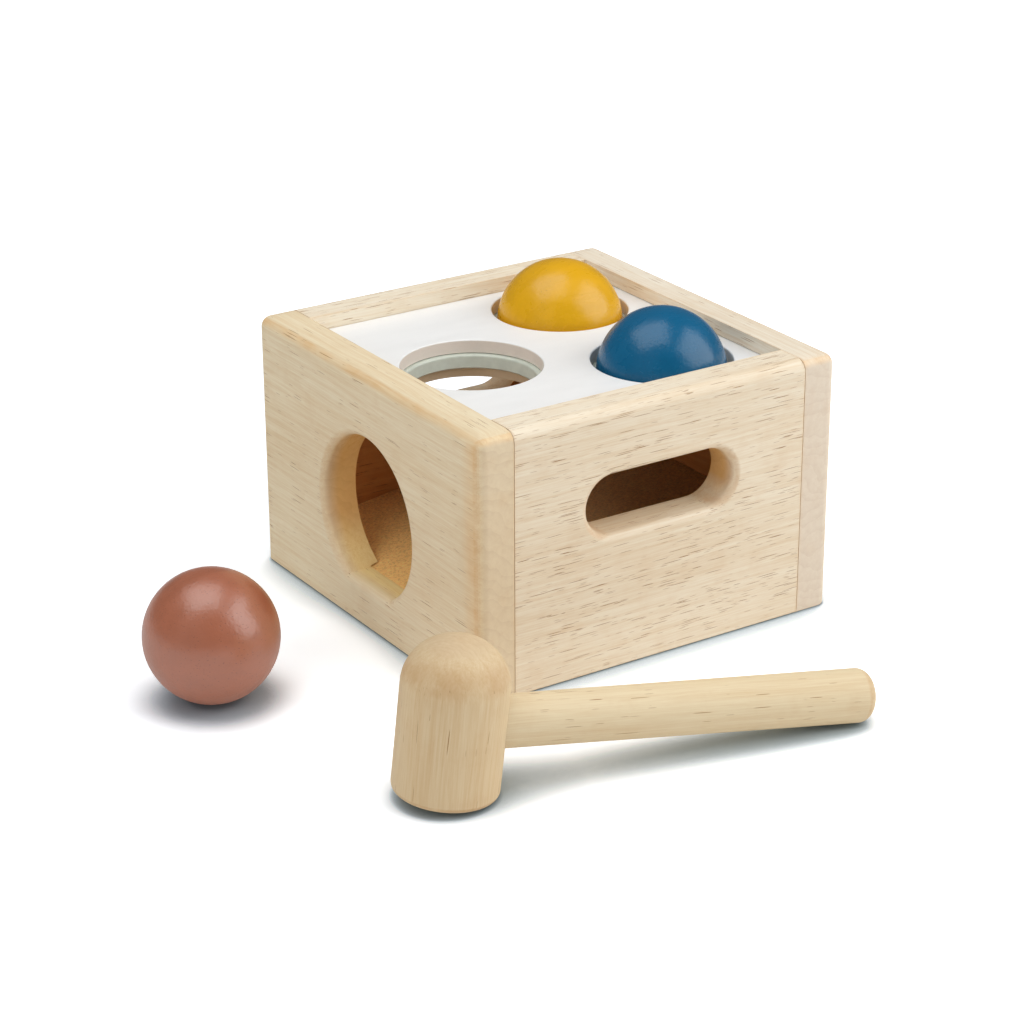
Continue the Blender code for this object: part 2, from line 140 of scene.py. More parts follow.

# Floor: half its width, how far its two painted shadows reach, and its colours; the darker ones are painted
# shadow, seen by the camera only
FLOOR_REACH = 4.0
SHADE_REACH = 32 * MM
CONTACT_SHADOW_REACH = 2.5 * MM
FLOOR_OPEN = (1.42, 1.48, 1.54, 1.0)
FLOOR_NEAR_SHADOW = (0.49, 0.59, 0.665, 1.0)
FLOOR_UNDER_SHADOW = (0.19, 0.26, 0.315, 1.0)
FLOOR_CONTACT_SHADOW = (0.25, 0.32, 0.375, 1.0)
FLOOR_BOUNCE = (0.88, 0.88, 0.88, 1.0)
SENSOR_WIDTH = 36.0


def length(name, description, default):
    """A size that a user can change."""
    return FloatProperty(
        name=name, description=description, default=default, subtype="DISTANCE", unit="LENGTH",
    )


def degrees(name, description, value):
    """An angle that a user can change, given in degrees."""
    return FloatProperty(name=name, description=description, default=math.radians(value), subtype="ANGLE")


def point(name, description, default):
    """A point that a user can move."""
    return FloatVectorProperty(
        name=name, description=description, default=default, subtype="TRANSLATION", size=3,
    )


def colour(name, description, default):
    """A colour that a user can change."""
    return FloatVectorProperty(
        name=name, description=description, default=default, subtype="COLOR", size=3, min=0, max=1,
    )


def share(name, description, default, highest=1.0):
    """A plain number from nought that a user can change."""
    return FloatProperty(name=name, description=description, default=default, min=0.0, max=highest)


class BoxSizes(PropertyGroup):
    """Sizes of the box's walls and openings."""

    edge_round: length("Edge round", "Radius of the walls' outer edges", 4.5 * MM)
    foot_round: length("Foot round", "Radius of the edges that stand on the floor", 1.2 * MM)
    ease: length("Eased edge", "Radius of the edges at joints and inside", 0.15 * MM)
    seam: length("Seam", "How much of a joint's gap the wood fills, so that its seam looks tight", 0.1 * MM)
    lip_round: length("Lip round", "Radius of the outer lip of each opening", 3.0 * MM)
    slot_length: length("Slot length", "Length of a hand slot", 66.0 * MM)
    slot_height: length("Slot height", "Height of a hand slot", 23.4 * MM)
    slot_centre: length("Slot centre", "Height of a hand slot's middle", 65.6 * MM)
    exit_radius: length("Exit radius", "Radius of the exit hole", 32.0 * MM)
    exit_centre: length("Exit centre", "Height of the exit hole's centre", 45.6 * MM)
    sill: length("Sill", "Height of the exit hole's flat sill", 17.3 * MM)
    hole_radius: length("Hole radius", "Radius of a hole in the board", 27.2 * MM)
    hole_ease: length("Hole edge", "Radius of the upper edge of a hole in the board", 0.6 * MM)
    groove_depth: length("Groove depth", "Depth of the ring groove in a hole's wall", 2.0 * MM)
    ramp_thickness: length("Ramp thickness", "Thickness of the ramp's board", 5.0 * MM)
    ramp_slope: degrees("Ramp slope", "Slope of the ramp", 8.2)


class RingSizes(PropertyGroup):
    """Sizes of the rubber rings, measured inwards from a ring's outer edge."""

    lip_radius: length("Lip radius", "Radius of the lip that holds a ball", 24.75 * MM)
    top_round: length("Top round", "Radius of the soft upper edge", 1.0 * MM)
    taper: length("Taper", "How much wider a ring is above its lip", 0.5 * MM)
    lip_height: length("Lip height", "Height of the lip above a ring's underside", 0.6 * MM)


class HammerSizes(PropertyGroup):
    """Sizes of the hammer and the way it lies."""

    head_radius: length("Head radius", "Radius of the head", 18.8 * MM)
    head_height: length("Head height", "Height of the head with its dome", 57.1 * MM)
    dome_height: length("Dome height", "Height of the dome", 17.8 * MM)
    face_round: length("Face round", "Radius of the striking face's edge", 2.5 * MM)
    handle_height: length("Handle height", "Height of the handle's axis above the face", 24.6 * MM)
    handle_reach: length("Handle reach", "Length from the head's axis to the handle's end", 158.2 * MM)
    root_radius: length("Root radius", "Handle's radius at the head", 9.3 * MM)
    end_radius: length("End radius", "Handle's radius at its end", 9.8 * MM)
    end_round: length("End round", "Radius of the end's edge", 5.0 * MM)
    foot: point("Foot", "Middle of the striking face", (-74.25 * MM, -82.025 * MM, 1.765 * MM))
    lean: degrees("Lean", "Lean of the head as the hammer lies", 6.164)
    turn: degrees("Turn", "Direction of the handle from x", -12.7)


class WoodLook(PropertyGroup):
    """Colours and figure of the natural wood, with the painted light and shade of its openings, edges and
    inside.
    """

    light: colour("Light wood", "Colour of the pale wood", (0.89, 0.785, 0.625))
    dark: colour("Dark wood", "Colour of the darker bands", (0.74, 0.56, 0.36))
    end_grain: colour("End grain", "Colour of sawn ends", (0.80, 0.67, 0.52))
    end_ring: colour("End grain rings", "Colour of the growth rings on sawn ends", (0.66, 0.51, 0.38))
    # The edge colour is partly handling and partly a painted shade of the rounded edges
    edge: colour("Worn and shaded edge", "Colour of the rounded edges", (0.80, 0.58, 0.36))
    amber: colour("Amber", "Colour where the grain is cut at a slant and drinks the oil", (0.62, 0.36, 0.16))
    rim: colour("Amber rim", "Tint of the side walls' front ends and top edges", (0.98, 0.84, 0.68))
    # The sill tints are painted light on the sills, which face up inside the openings
    exit_sill_light: colour("Exit sill", "Tint of the sill of the exit hole", (1.12, 1.01, 0.66))
    slot_sill_light: colour("Slot sill", "Tint of the sills of the slots", (1.12, 1.11, 1.06))
    amber_strength: share("Amber strength", "How clearly the amber shows", 0.42)
    # The cut wood tint is a painted shade in the openings, and the inside tint a painted shade inside the
    # box
    cut: colour("Cut wood", "Tint of the wood in the openings", (1.00, 0.74, 0.40))
    inside: colour("Inside", "Painted shade on the wood inside the box", (0.74, 0.51, 0.36))
    left_tint: colour("Left wall", "Tint of the left wall", (1.0, 0.985, 0.885))
    back_tint: colour("Back wall", "Tint of the back wall", (1.04, 1.07, 1.09))
    front_tint: colour("Front wall", "Tint of the front wall", (1.01, 1.02, 1.02))
    right_tint: colour("Right wall", "Tint of the right wall", (1.00, 1.03, 1.07))
    head_tint: colour("Hammer head", "Tint of the hammer's head", (0.855, 0.775, 0.62))
    handle_tint: colour("Hammer handle", "Tint of the hammer's handle", (0.90, 0.85, 0.71))
    pore: colour("Pores", "Colour of the open pores", (0.37, 0.185, 0.065))
    pore_strength: share("Pore strength", "How clearly the pores show", 0.95)
    roughness: share("Roughness", "Roughness of the sanded wood", 0.55)


class PaintLook(PropertyGroup):
    """Colours of the painted, rubber and fibre board pieces."""

    yellow: colour("Yellow", "Paint of the rear ball", (0.76, 0.40, 0.003))
    blue: colour("Blue", "Paint of the front ball", (0.0001, 0.108, 0.235))
    terracotta: colour("Terracotta", "Paint of the loose ball", (0.41, 0.13, 0.064))
    white: colour("White", "Paint of the hole board", (0.9, 0.9, 0.89))
    core: colour("Core", "Raw edge of the hole board inside its holes", (0.95, 0.86, 0.77))
    ring: colour("Ring", "Tint of the rubber rings", (0.78, 0.83, 0.73))
    fibre: colour("Fibre board", "Colour of the ramp", (0.95, 0.54, 0.19))


class StageLook(PropertyGroup):
    """Camera and light."""

    lens: FloatProperty(name="Lens", description="Focal length in millimetres", default=101.133)
    camera_place: point("Camera place", "Where the camera stands", (-0.52345, -0.81329, 0.47340))
    azimuth: degrees("Azimuth", "Turn to the left", 33.0642)
    elevation: degrees("Elevation", "Height of view", 23.2221)
    roll: degrees("Roll", "Roll of the camera", -0.2390)
    sky: share("Sky", "Strength of the even light from all round", 0.24, 5.0)
    key: share("Top light", "Power of the large light overhead", 6.5, 500.0)
    side: share("Side light", "Power of the light at the front right", 12.2, 500.0)
    fill: share("Fill light", "Power of the weak light at the left", 5.6, 500.0)


def join_surfaces(surfaces):
    """Points and faces of several surfaces as one list of each."""
    points = []
    faces = []
    for some_points, some_faces in surfaces:
        start = sum(len(p) for p in points)
        points.append(some_points)
        faces.extend([tuple(start + i for i in face) for face in some_faces])
    return np.concatenate(points), faces


def grid_faces(rows, columns, closed_rows):
    """Quads of a grid whose columns close on themselves, and whose rows do too if closed_rows."""
    row = np.arange(rows if closed_rows else rows - 1)[:, None]
    column = np.arange(columns)[None, :]
    after_row = (row + 1) % rows
    after_column = (column + 1) % columns
    quads = np.stack([
        row * columns + column,
        row * columns + after_column,
        after_row * columns + after_column,
        after_row * columns + column,
    ], axis=-1)
    return [tuple(quad) for quad in quads.reshape(-1, 4).tolist()]


def loft(rings, closed):
    """Surface through rings, which closes on itself or gets flat ends.

    rings is an array by ring, by point and by x, y, z.
    """
    count, around = rings.shape[:2]
    faces = grid_faces(count, around, closed)
    if not closed:
        faces.append(tuple(range(around))[::-1])
        faces.append(tuple(range((count - 1) * around, count * around)))
    return rings.reshape(-1, 3), faces


def turned(profile, steps):
    """Surface of a profile of (radius, height) points turned about z.

    Point i, j is (radius i cos angle j, radius i sin angle j, height i). A profile that starts and
    ends on the axis is closed by a point at each pole, and any other is closed on itself.
    """
    profile = np.asarray(profile, float)
    angle = np.linspace(0, 2 * np.pi, steps, endpoint=False)
    to_poles = profile[0, 0] == 0.0 and profile[-1, 0] == 0.0
    body = profile[1:-1] if to_poles else profile
    radius = body[:, :1]
    height = body[:, 1:] + 0 * angle
    rings = np.stack([radius * np.cos(angle), radius * np.sin(angle), height], axis=-1)
    points = rings.reshape(-1, 3)
    faces = grid_faces(len(body), steps, not to_poles)
    if to_poles:
        first = len(points)
        points = np.concatenate([points, [[0, 0, profile[0, 1]], [0, 0, profile[-1, 1]]]])
        last_ring = (len(body) - 1) * steps
        for j in range(steps):
            after = (j + 1) % steps
            faces.append((first, after, j))
            faces.append((first + 1, last_ring + j, last_ring + after))
    return points, faces


def placed(surface, matrix):
    """The surface moved by a matrix."""
    points, faces = surface
    matrix = np.array(matrix)
    return points @ matrix[:3, :3].T + matrix[:3, 3], faces


def standing(x, y, z=0.0):
    """Matrix that puts an upright shape at x, y, z."""
    return Matrix.Translation((x, y, z))


def lying(x, y, z):
    """Matrix that puts a turned shape at x, y, z with its axis along x."""
    return Matrix.Translation((x, y, z)) @ Matrix.Rotation(math.pi / 2, 4, "Y")


def block(low, high):
    """Surface of a plain block, used to cut housings."""
    corners = np.array([[x, y, z] for z in (low[2], high[2]) for x, y in (
        (low[0], low[1]), (high[0], low[1]), (high[0], high[1]), (low[0], high[1]))], float)
    return loft(corners.reshape(2, 4, 3), closed=False)


def arc(centre, radius, start, end, steps):
    """Points of an arc between two angles, both ends included."""
    angle = np.linspace(start, end, steps + 1)
    return np.stack([centre[0] + radius * np.cos(angle), centre[1] + radius * np.sin(angle)], axis=-1)


def make_mesh(name, surface):
    """Mesh of a surface, its faces turned outwards."""
    points, faces = surface
    mesh = bpy.data.meshes.new(name)
    mesh.from_pydata(points.tolist(), [], faces)
    shell = bmesh.new()
    shell.from_mesh(mesh)
    bmesh.ops.recalc_face_normals(shell, faces=shell.faces[:])
    shell.to_mesh(mesh)
    shell.free()
    return mesh


def new_object(name, mesh):
    """An object of the mesh in the scene."""
    made = bpy.data.objects.new(name, mesh)
    bpy.context.scene.collection.objects.link(made)
    return made


def cut_out(piece, surfaces):
    """Cut the surfaces' shapes out of the piece, and keep the result in its mesh."""
    cutter = new_object(piece.name + "_cutter", make_mesh(piece.name + "_cutter", join_surfaces(surfaces)))
    boolean = piece.modifiers.new("cut", "BOOLEAN")
    boolean.operation = "DIFFERENCE"
    boolean.solver = "EXACT"
    boolean.object = cutter
    graph = bpy.context.evaluated_depsgraph_get()
    cut = bpy.data.meshes.new_from_object(piece.evaluated_get(graph))
    piece.modifiers.remove(boolean)
    piece.data = cut
    bpy.data.objects.remove(cutter, do_unlink=True)


def finish_piece(piece, node, body, material):
    """Shade the piece, give it its material and tie it to the frame."""
    mesh = piece.data
    mesh.materials.clear()
    mesh.materials.append(material)
    mesh.shade_smooth()
    mesh.set_sharp_from_angle(angle=SHARP_ANGLE)
    weighted = piece.modifiers.new("even flats", "WEIGHTED_NORMAL")
    weighted.keep_sharp = True
    weighted.weight = 100
    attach(piece, body)
    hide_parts(node)
    return piece


class Graph:
    """Adds nodes to a node tree, so that a material reads as a list of steps."""

    def __init__(self, tree):
        self.tree = tree

    def join(self, socket, value):
        """Link an output to the socket, or set the socket's value."""
        if isinstance(value, bpy.types.NodeSocket):
            self.tree.links.new(value, socket)
        else:
            socket.default_value = value

    def add(self, kind, sockets=None, **settings):
        """Add a node with its settings and with values or links for its sockets, by name or number."""
        node = self.tree.nodes.new(kind)
        for name, value in settings.items():
            setattr(node, name, value)
        for name, value in (sockets or {}).items():
            self.join(node.inputs[name], value)
        return node

    def math(self, operation, first, second=0.0, clamp=False):
        """A Math node's value."""
        node = self.add("ShaderNodeMath", {0: first, 1: second}, operation=operation, use_clamp=clamp)
        return node.outputs[0]

    def remap(self, value, low, high, to_low=0.0, to_high=1.0, smooth=False):
        """The value moved from one range to another, and held inside it."""
        node = self.add("ShaderNodeMapRange", {
            "Value": value, "From Min": low, "From Max": high, "To Min": to_low, "To Max": to_high,
        }, interpolation_type="SMOOTHSTEP" if smooth else "LINEAR")
        return node.outputs["Result"]

    def mix(self, factor, first, second, blend="MIX"):
        """Two colours mixed. The node's colours are its sockets 6 and 7, and their mix is output 2."""
        node = self.add("ShaderNodeMix", {0: factor, 6: first, 7: second},
                        data_type="RGBA", blend_type=blend)
        return node.outputs[2]

    def stretch(self, vector, scale):
        """The vector with each axis multiplied."""
        return self.add("ShaderNodeVectorMath", {0: vector, 1: scale}, operation="MULTIPLY").outputs[0]

    def noise(self, vector, scale, detail=2.0, roughness=0.5):
        """A noise texture's value."""
        node = self.add("ShaderNodeTexNoise", {
            "Vector": vector, "Scale": scale, "Detail": detail, "Roughness": roughness,
        })
        return node.outputs["Fac"]

    def place(self):
        """The object's coordinates."""
        return self.add("ShaderNodeTexCoord").outputs["Object"]

    def part(self, vector, axis):
        """One part of a vector."""
        return self.add("ShaderNodeSeparateXYZ", {"Vector": vector}).outputs[axis]

    def bump(self, shader, height, strength, distance):
        """Give the shader a relief."""
        node = self.add("ShaderNodeBump", {
            "Height": height, "Strength": strength, "Distance": distance,
        })
        self.join(shader.inputs["Normal"], node.outputs[0])


def new_group(name, inputs, outputs):
    """A shader node group with named sockets, its input and output nodes and its graph."""
    tree = bpy.data.node_groups.new(name, "ShaderNodeTree")
    for socket, kind, default in inputs:
        made = tree.interface.new_socket(name=socket, in_out="INPUT", socket_type=kind)
        if default is not None:
            made.default_value = default
    for socket, kind in outputs:
        tree.interface.new_socket(name=socket, in_out="OUTPUT", socket_type=kind)
    return Graph(tree), tree.nodes.new("NodeGroupInput"), tree.nodes.new("NodeGroupOutput")


def pore_layer(graph, vector, run, pitch, radius, kept):
    """Mask of pores: long thin cells along x, of which a share is kept.

    The vector is in millimetres. A cell is run long and pitch wide; its pore is the part nearer to
    the cell's point than radius, in cells.
    """
    cells = graph.add("ShaderNodeTexVoronoi", {
        "Vector": graph.stretch(vector, (1 / run, 1 / pitch, 1 / pitch)), "Scale": 1.0,
    })
    chance = graph.add("ShaderNodeSeparateColor", {"Color": cells.outputs["Color"]})
    near = graph.remap(cells.outputs["Distance"], radius, radius * 0.75, 0.0, 1.0)
    return graph.math("MULTIPLY", near, graph.math("LESS_THAN", chance.outputs["Red"], kept))


def timber_figure():
    """Node group with the figure of the wood, whose grain runs along x.

    Bands are a wave of the distance from the pith line, bent by slow noise. Streaks and Lines are
    coarse and fine noise drawn out along the grain. Pores are layers of drawn-out cells, crowded
    where a slow noise is high.
    """
    name = "Timber figure"
    if name in bpy.data.node_groups:
        return bpy.data.node_groups[name]
    graph, given, result = new_group(
        name,
        [
            ("Vector", "NodeSocketVector", None),
            ("Band Width", "NodeSocketFloat", 5.0),
            ("Pore Share", "NodeSocketFloat", 0.5),
        ],
        [
            ("Bands", "NodeSocketFloat"),
            ("Streaks", "NodeSocketFloat"),
            ("Lines", "NodeSocketFloat"),
            ("Pores", "NodeSocketFloat"),
            ("Patches", "NodeSocketFloat"),
        ],
    )
    straight = graph.stretch(given.outputs["Vector"], PER_MM)
    drift = graph.noise(graph.stretch(straight, (0.2, 1.0, 1.0)), 0.05, 2.0)
    shift = graph.add("ShaderNodeCombineXYZ", {
        "Y": graph.math("MULTIPLY", drift, 5.0), "Z": graph.math("MULTIPLY", drift, -4.0),
    })
    drifted = graph.add("ShaderNodeVectorMath", {0: straight, 1: shift.outputs[0]}, operation="ADD")
    vector = drifted.outputs[0]
    across = graph.add("ShaderNodeSeparateXYZ", {"Vector": vector})
    squares = graph.math("ADD",
                         graph.math("POWER", across.outputs["Y"], 2.0),
                         graph.math("POWER", across.outputs["Z"], 2.0))
    slow = graph.noise(graph.stretch(vector, (0.12, 1.0, 1.0)), 0.06, 2.0)
    bent = graph.math("ADD", graph.math("SQRT", squares), graph.math("MULTIPLY", slow, 22.0))
    saw = graph.math("FRACT", graph.math("DIVIDE", bent, given.outputs["Band Width"]))
    bands = graph.math("POWER", saw, 2.5)
    streaks = graph.noise(graph.stretch(vector, (0.02, 1.0, 1.0)), 0.55, 3.0, 0.6)
    lines = graph.noise(graph.stretch(vector, (0.025, 1.0, 1.0)), 1.9, 3.0, 0.75)
    patches = graph.noise(graph.stretch(vector, (0.25, 1.0, 1.0)), 0.035, 2.0)
    crowd = graph.noise(graph.stretch(vector, (0.12, 1.0, 1.0)), 0.16, 2.0)
    crowd = graph.remap(crowd, 0.36, 0.6, 0.3, 1.0)
    kept = graph.math("MULTIPLY", crowd, given.outputs["Pore Share"])
    coarse = pore_layer(graph, vector, *COARSE_PORES, kept)
    fine = pore_layer(graph, vector, *FINE_PORES, kept)
    open_pores = pore_layer(graph, vector, *OPEN_PORES, graph.math("MULTIPLY", kept, 0.5))
    pores = graph.math("MAXIMUM", graph.math("MULTIPLY", coarse, 0.85), graph.math("MULTIPLY", fine, 0.6))
    pores = graph.math("MAXIMUM", pores, open_pores)
    for socket, value in (("Bands", bands), ("Streaks", streaks), ("Lines", lines), ("Pores", pores),
                          ("Patches", patches)):
        graph.join(result.inputs[socket], value)
    return graph.tree


def paint_figure():
    """Node group with the small marks of paint on wood: filled pores, specks and a slow change of tone."""
    name = "Paint figure"
    if name in bpy.data.node_groups:
        return bpy.data.node_groups[name]
    graph, given, result = new_group(
        name,
        [("Vector", "NodeSocketVector", None), ("Speck Share", "NodeSocketFloat", 0.3)],
        [("Tone", "NodeSocketFloat"), ("Specks", "NodeSocketFloat"), ("Height", "NodeSocketFloat")],
    )
    vector = graph.stretch(given.outputs["Vector"], PER_MM)
    tone = graph.noise(graph.stretch(vector, (0.25, 1.0, 1.0)), 0.16, 3.0, 0.6)
    specks = pore_layer(graph, vector, *PAINT_PORES, given.outputs["Speck Share"])
    ripple = graph.noise(vector, 0.75, 1.0)
    grain = graph.noise(graph.stretch(vector, (1.0, 1.0, 0.12)), 1.0, 1.0)
    ripple = graph.math("ADD", ripple, graph.math("MULTIPLY", grain, 0.5))
    height = graph.math("SUBTRACT", ripple, graph.math("MULTIPLY", specks, 0.3))
    for socket, value in (("Tone", tone), ("Specks", specks), ("Height", height)):
        graph.join(result.inputs[socket], value)
    return graph.tree


def edge_wear_and_shade():
    """Node group with a mask of the edges, where handling has polished and toned the surface, partly a
    painted shade of the rounded edges.
    """
    name = "Edge wear"
    if name in bpy.data.node_groups:
        return bpy.data.node_groups[name]
    graph, given, result = new_group(
        name,
        [("Radius", "NodeSocketFloat", 2.0 * MM), ("Vector", "NodeSocketVector", None)],
        [("Mask", "NodeSocketFloat")],
    )
    bevel = graph.add("ShaderNodeBevel", {"Radius": given.outputs["Radius"]}, samples=6)
    flat = graph.add("ShaderNodeNewGeometry").outputs["Normal"]
    agree = graph.add("ShaderNodeVectorMath", {0: bevel.outputs[0], 1: flat}, operation="DOT_PRODUCT")
    edge = graph.remap(agree.outputs["Value"], 1.0, 0.9, 0.0, 1.0)
    patchy = graph.noise(graph.stretch(given.outputs["Vector"], PER_MM), 0.25, 2.0)
    graph.join(result.inputs["Mask"], graph.math("MULTIPLY", edge, graph.remap(patchy, 0.3, 0.7, 0.4, 1.0)))
    return graph.tree


def new_material(name):
    """An empty material with a Principled shader and its graph."""
    material = bpy.data.materials.new(name)
    material.use_nodes = True
    graph = Graph(material.node_tree)
    shader = material.node_tree.nodes["Principled BSDF"]
    return material, graph, shader


def along_grain(graph, grain, pith):
    """Object coordinates turned so that the grain runs along x, with the pith line on the x axis."""
    grain = Vector(grain).normalized()
    upright = Vector((0, 0, 1)) if abs(grain.z) < 0.9 else Vector((0, 1, 0))
    side = upright.cross(grain).normalized()
    turn = Matrix((grain, side, grain.cross(side)))
    place = graph.place()
    moved = graph.add("ShaderNodeVectorMath", {0: place, 1: pith}, operation="SUBTRACT").outputs[0]
    mapping = graph.add("ShaderNodeMapping", {"Vector": moved, "Rotation": turn.to_euler()})
    return mapping.outputs[0]


def inside_depth(graph):
    """Depth of a point below the box's outer faces, and below its front, in metres.

    The third value is a mask that is 1 under the board.
    """
    place = graph.place()
    parts = graph.add("ShaderNodeSeparateXYZ", {"Vector": place})
    depths = []
    for axis, low, high in (("X", LEFT_LOW.x, RIGHT_HIGH.x), ("Y", LEFT_LOW.y, LEFT_HIGH.y)):
        away = graph.math("ABSOLUTE", graph.math("SUBTRACT", parts.outputs[axis], (low + high) / 2))
        depths.append(graph.math("SUBTRACT", (high - low) / 2, away))
    under = graph.math("LESS_THAN", parts.outputs["Z"], BOARD_LOW.z)
    front = graph.math("SUBTRACT", parts.outputs["Y"], LEFT_LOW.y)
    return graph.math("MINIMUM", *depths), front, under


def box_tones(graph, base, look, normal, facing, clouds, ends):
    """A wall's base colour with the tones of its place in the box.

    The cut wood of the openings is browner the deeper it lies, a painted shade, and its faces that look up
    are lighter, a painted light; the faces inside the box are darker still, a painted shade. A wall with
    free ends is toned amber towards its front end and along its top.
    """
    depth, front, under = inside_depth(graph)
    up = graph.part(normal, "Z")
    if ends:
        band = graph.math("MULTIPLY", graph.remap(front, 13.0 * MM, 4.0 * MM, smooth=True),
                          graph.remap(facing, 0.3, 0.9, 1.0, 0.0, smooth=True))
        band = graph.math("MULTIPLY", band, graph.remap(up, 0.3, 0.9, 1.0, 0.2))
        rim = graph.math("MULTIPLY", graph.remap(up, 0.15, 0.6, smooth=True),
                         graph.remap(up, 0.8, 0.98, 1.0, 0.0, smooth=True))
        rim = graph.math("MULTIPLY", rim, graph.math("SUBTRACT", 1.0, under))
        band = graph.math("MAXIMUM", band, rim)
        band = graph.math("MULTIPLY", band, graph.remap(clouds, 0.3, 0.6, 0.4, 0.85))
        base = graph.mix(band, base, (*look.rim, 1.0), "MULTIPLY")
    # Painted light and shade in the openings: faces that look up get the lighter sill tint, the others a
    # browner tint that deepens further in
    sill = look.exit_sill_light if ends else look.slot_sill_light
    cut = graph.math("MULTIPLY", graph.remap(depth, -1.0 * MM, 8.0 * MM, smooth=True), under)
    level = graph.mix(graph.remap(up, 0.3, 0.8), (*look.cut, 1.0), (*sill, 1.0))
    base = graph.mix(cut, base, level, "MULTIPLY")
    # Painted shade: the faces inside the box, under the board, are darkened
    hidden = graph.math("MULTIPLY", graph.math("GREATER_THAN", depth, WALL - 0.2 * MM), under)
    return graph.mix(hidden, base, (*look.inside, 1.0), "MULTIPLY")


def timber(name, grain, pith, look, tint=(1, 1, 1), band_width=5.0, pore_share=0.75, warmth=0.0, boxed=False,
           ends=False, figured=1.0):
    """Natural wood with its grain along a direction, rings about a pith line, pores and end grain.

    Where the grain is cut at a slant the wood is amber in patches. The rounded edges are toned, partly
    by handling and partly as a painted shade. boxed adds the tones of a wall of the box, most of them
    painted light and shade, and ends says that the wall's ends are free.
    """
    material, graph, shader = new_material(name)
    vector = along_grain(graph, grain, pith)
    figure = graph.add("ShaderNodeGroup", {}, node_tree=timber_figure())
    graph.join(figure.inputs["Vector"], vector)
    graph.join(figure.inputs["Band Width"], band_width)
    graph.join(figure.inputs["Pore Share"], pore_share)
    bands = figure.outputs["Bands"]
    streaks = figure.outputs["Streaks"]
    lines = figure.outputs["Lines"]

    light = (*look.light, 1.0)
    dark = (*look.dark, 1.0)
    patches = figure.outputs["Patches"]
    tone = graph.math("ADD", graph.math("MULTIPLY", bands, 0.15), graph.remap(streaks, 0.4, 0.7, 0.0, 0.36))
    tone = graph.math("ADD", tone, graph.remap(lines, 0.3, 0.7, -0.2, 0.4))
    tone = graph.math("ADD", tone, graph.remap(patches, 0.3, 0.7, warmth - 0.12, warmth + 0.18))
    tone = graph.math("MULTIPLY", tone, figured)
    base = graph.mix(graph.math("MAXIMUM", tone, 0.0, clamp=True), light, dark)

    normal = graph.add("ShaderNodeTexCoord").outputs["Normal"]
    facing = graph.add("ShaderNodeVectorMath", {0: normal, 1: tuple(Vector(grain).normalized())},
                       operation="DOT_PRODUCT").outputs["Value"]
    facing = graph.math("ABSOLUTE", facing)
    sawn = graph.remap(facing, 0.72, 0.96, 0.0, 0.9, smooth=True)
    rings = graph.math("ADD", graph.math("MULTIPLY", bands, 0.3), graph.remap(streaks, 0.35, 0.7, 0.0, 0.25))
    base = graph.mix(sawn, base, graph.mix(rings, (*look.end_grain, 1.0), (*look.end_ring, 1.0)))
    slant = graph.math("MULTIPLY", graph.remap(facing, 0.04, 0.32, smooth=True),
                       graph.remap(facing, 0.45, 0.85, 1.0, 0.0, smooth=True))
    clouds = graph.noise(graph.stretch(vector, PER_MM), 0.09, 3.0, 0.6)
    slant = graph.math("MULTIPLY", slant, graph.remap(clouds, 0.36, 0.62, 0.3, 1.0))
    stain = graph.math("MAXIMUM", graph.math("MULTIPLY", slant, 0.2 if ends else look.amber_strength),
                       graph.remap(clouds, 0.52, 0.75, 0.0, 0.14))
    base = graph.mix(stain, base, (*look.amber, 1.0))
    pores = graph.math("MULTIPLY", figure.outputs["Pores"], graph.remap(facing, 0.1, 0.5, 1.0, 0.0))
    base = graph.mix(graph.math("MULTIPLY", pores, look.pore_strength), base, (*look.pore, 1.0))

    # Edge tone: partly handling, partly a painted shade of the rounded edges; the same mask also lowers the
    # roughness
    wear_and_shade = graph.add("ShaderNodeGroup", {}, node_tree=edge_wear_and_shade())
    graph.join(wear_and_shade.inputs["Vector"], vector)
    worn = graph.math("MULTIPLY", wear_and_shade.outputs["Mask"], WALL_EDGE_WEAR_AND_SHADE if boxed else LOOSE_EDGE_WEAR_AND_SHADE)
    base = graph.mix(worn, base, (*look.edge, 1.0))
    if boxed:
        base = box_tones(graph, base, look, normal, facing, clouds, ends)
    base = graph.mix(1.0, base, (*tint, 1.0), "MULTIPLY")
    graph.join(shader.inputs["Base Color"], base)

    rough = graph.remap(streaks, 0.2, 0.8, look.roughness - 0.08, look.roughness + 0.1)
    rough = graph.math("SUBTRACT", rough, graph.math("MULTIPLY", wear_and_shade.outputs["Mask"], 0.12))
    graph.join(shader.inputs["Roughness"], rough)
    relief = graph.math("SUBTRACT", graph.math("MULTIPLY", lines, 0.35), pores)
    graph.bump(shader, relief, 0.3, 0.1 * MM)
    shader.inputs["Specular IOR Level"].default_value = 0.35
    return material


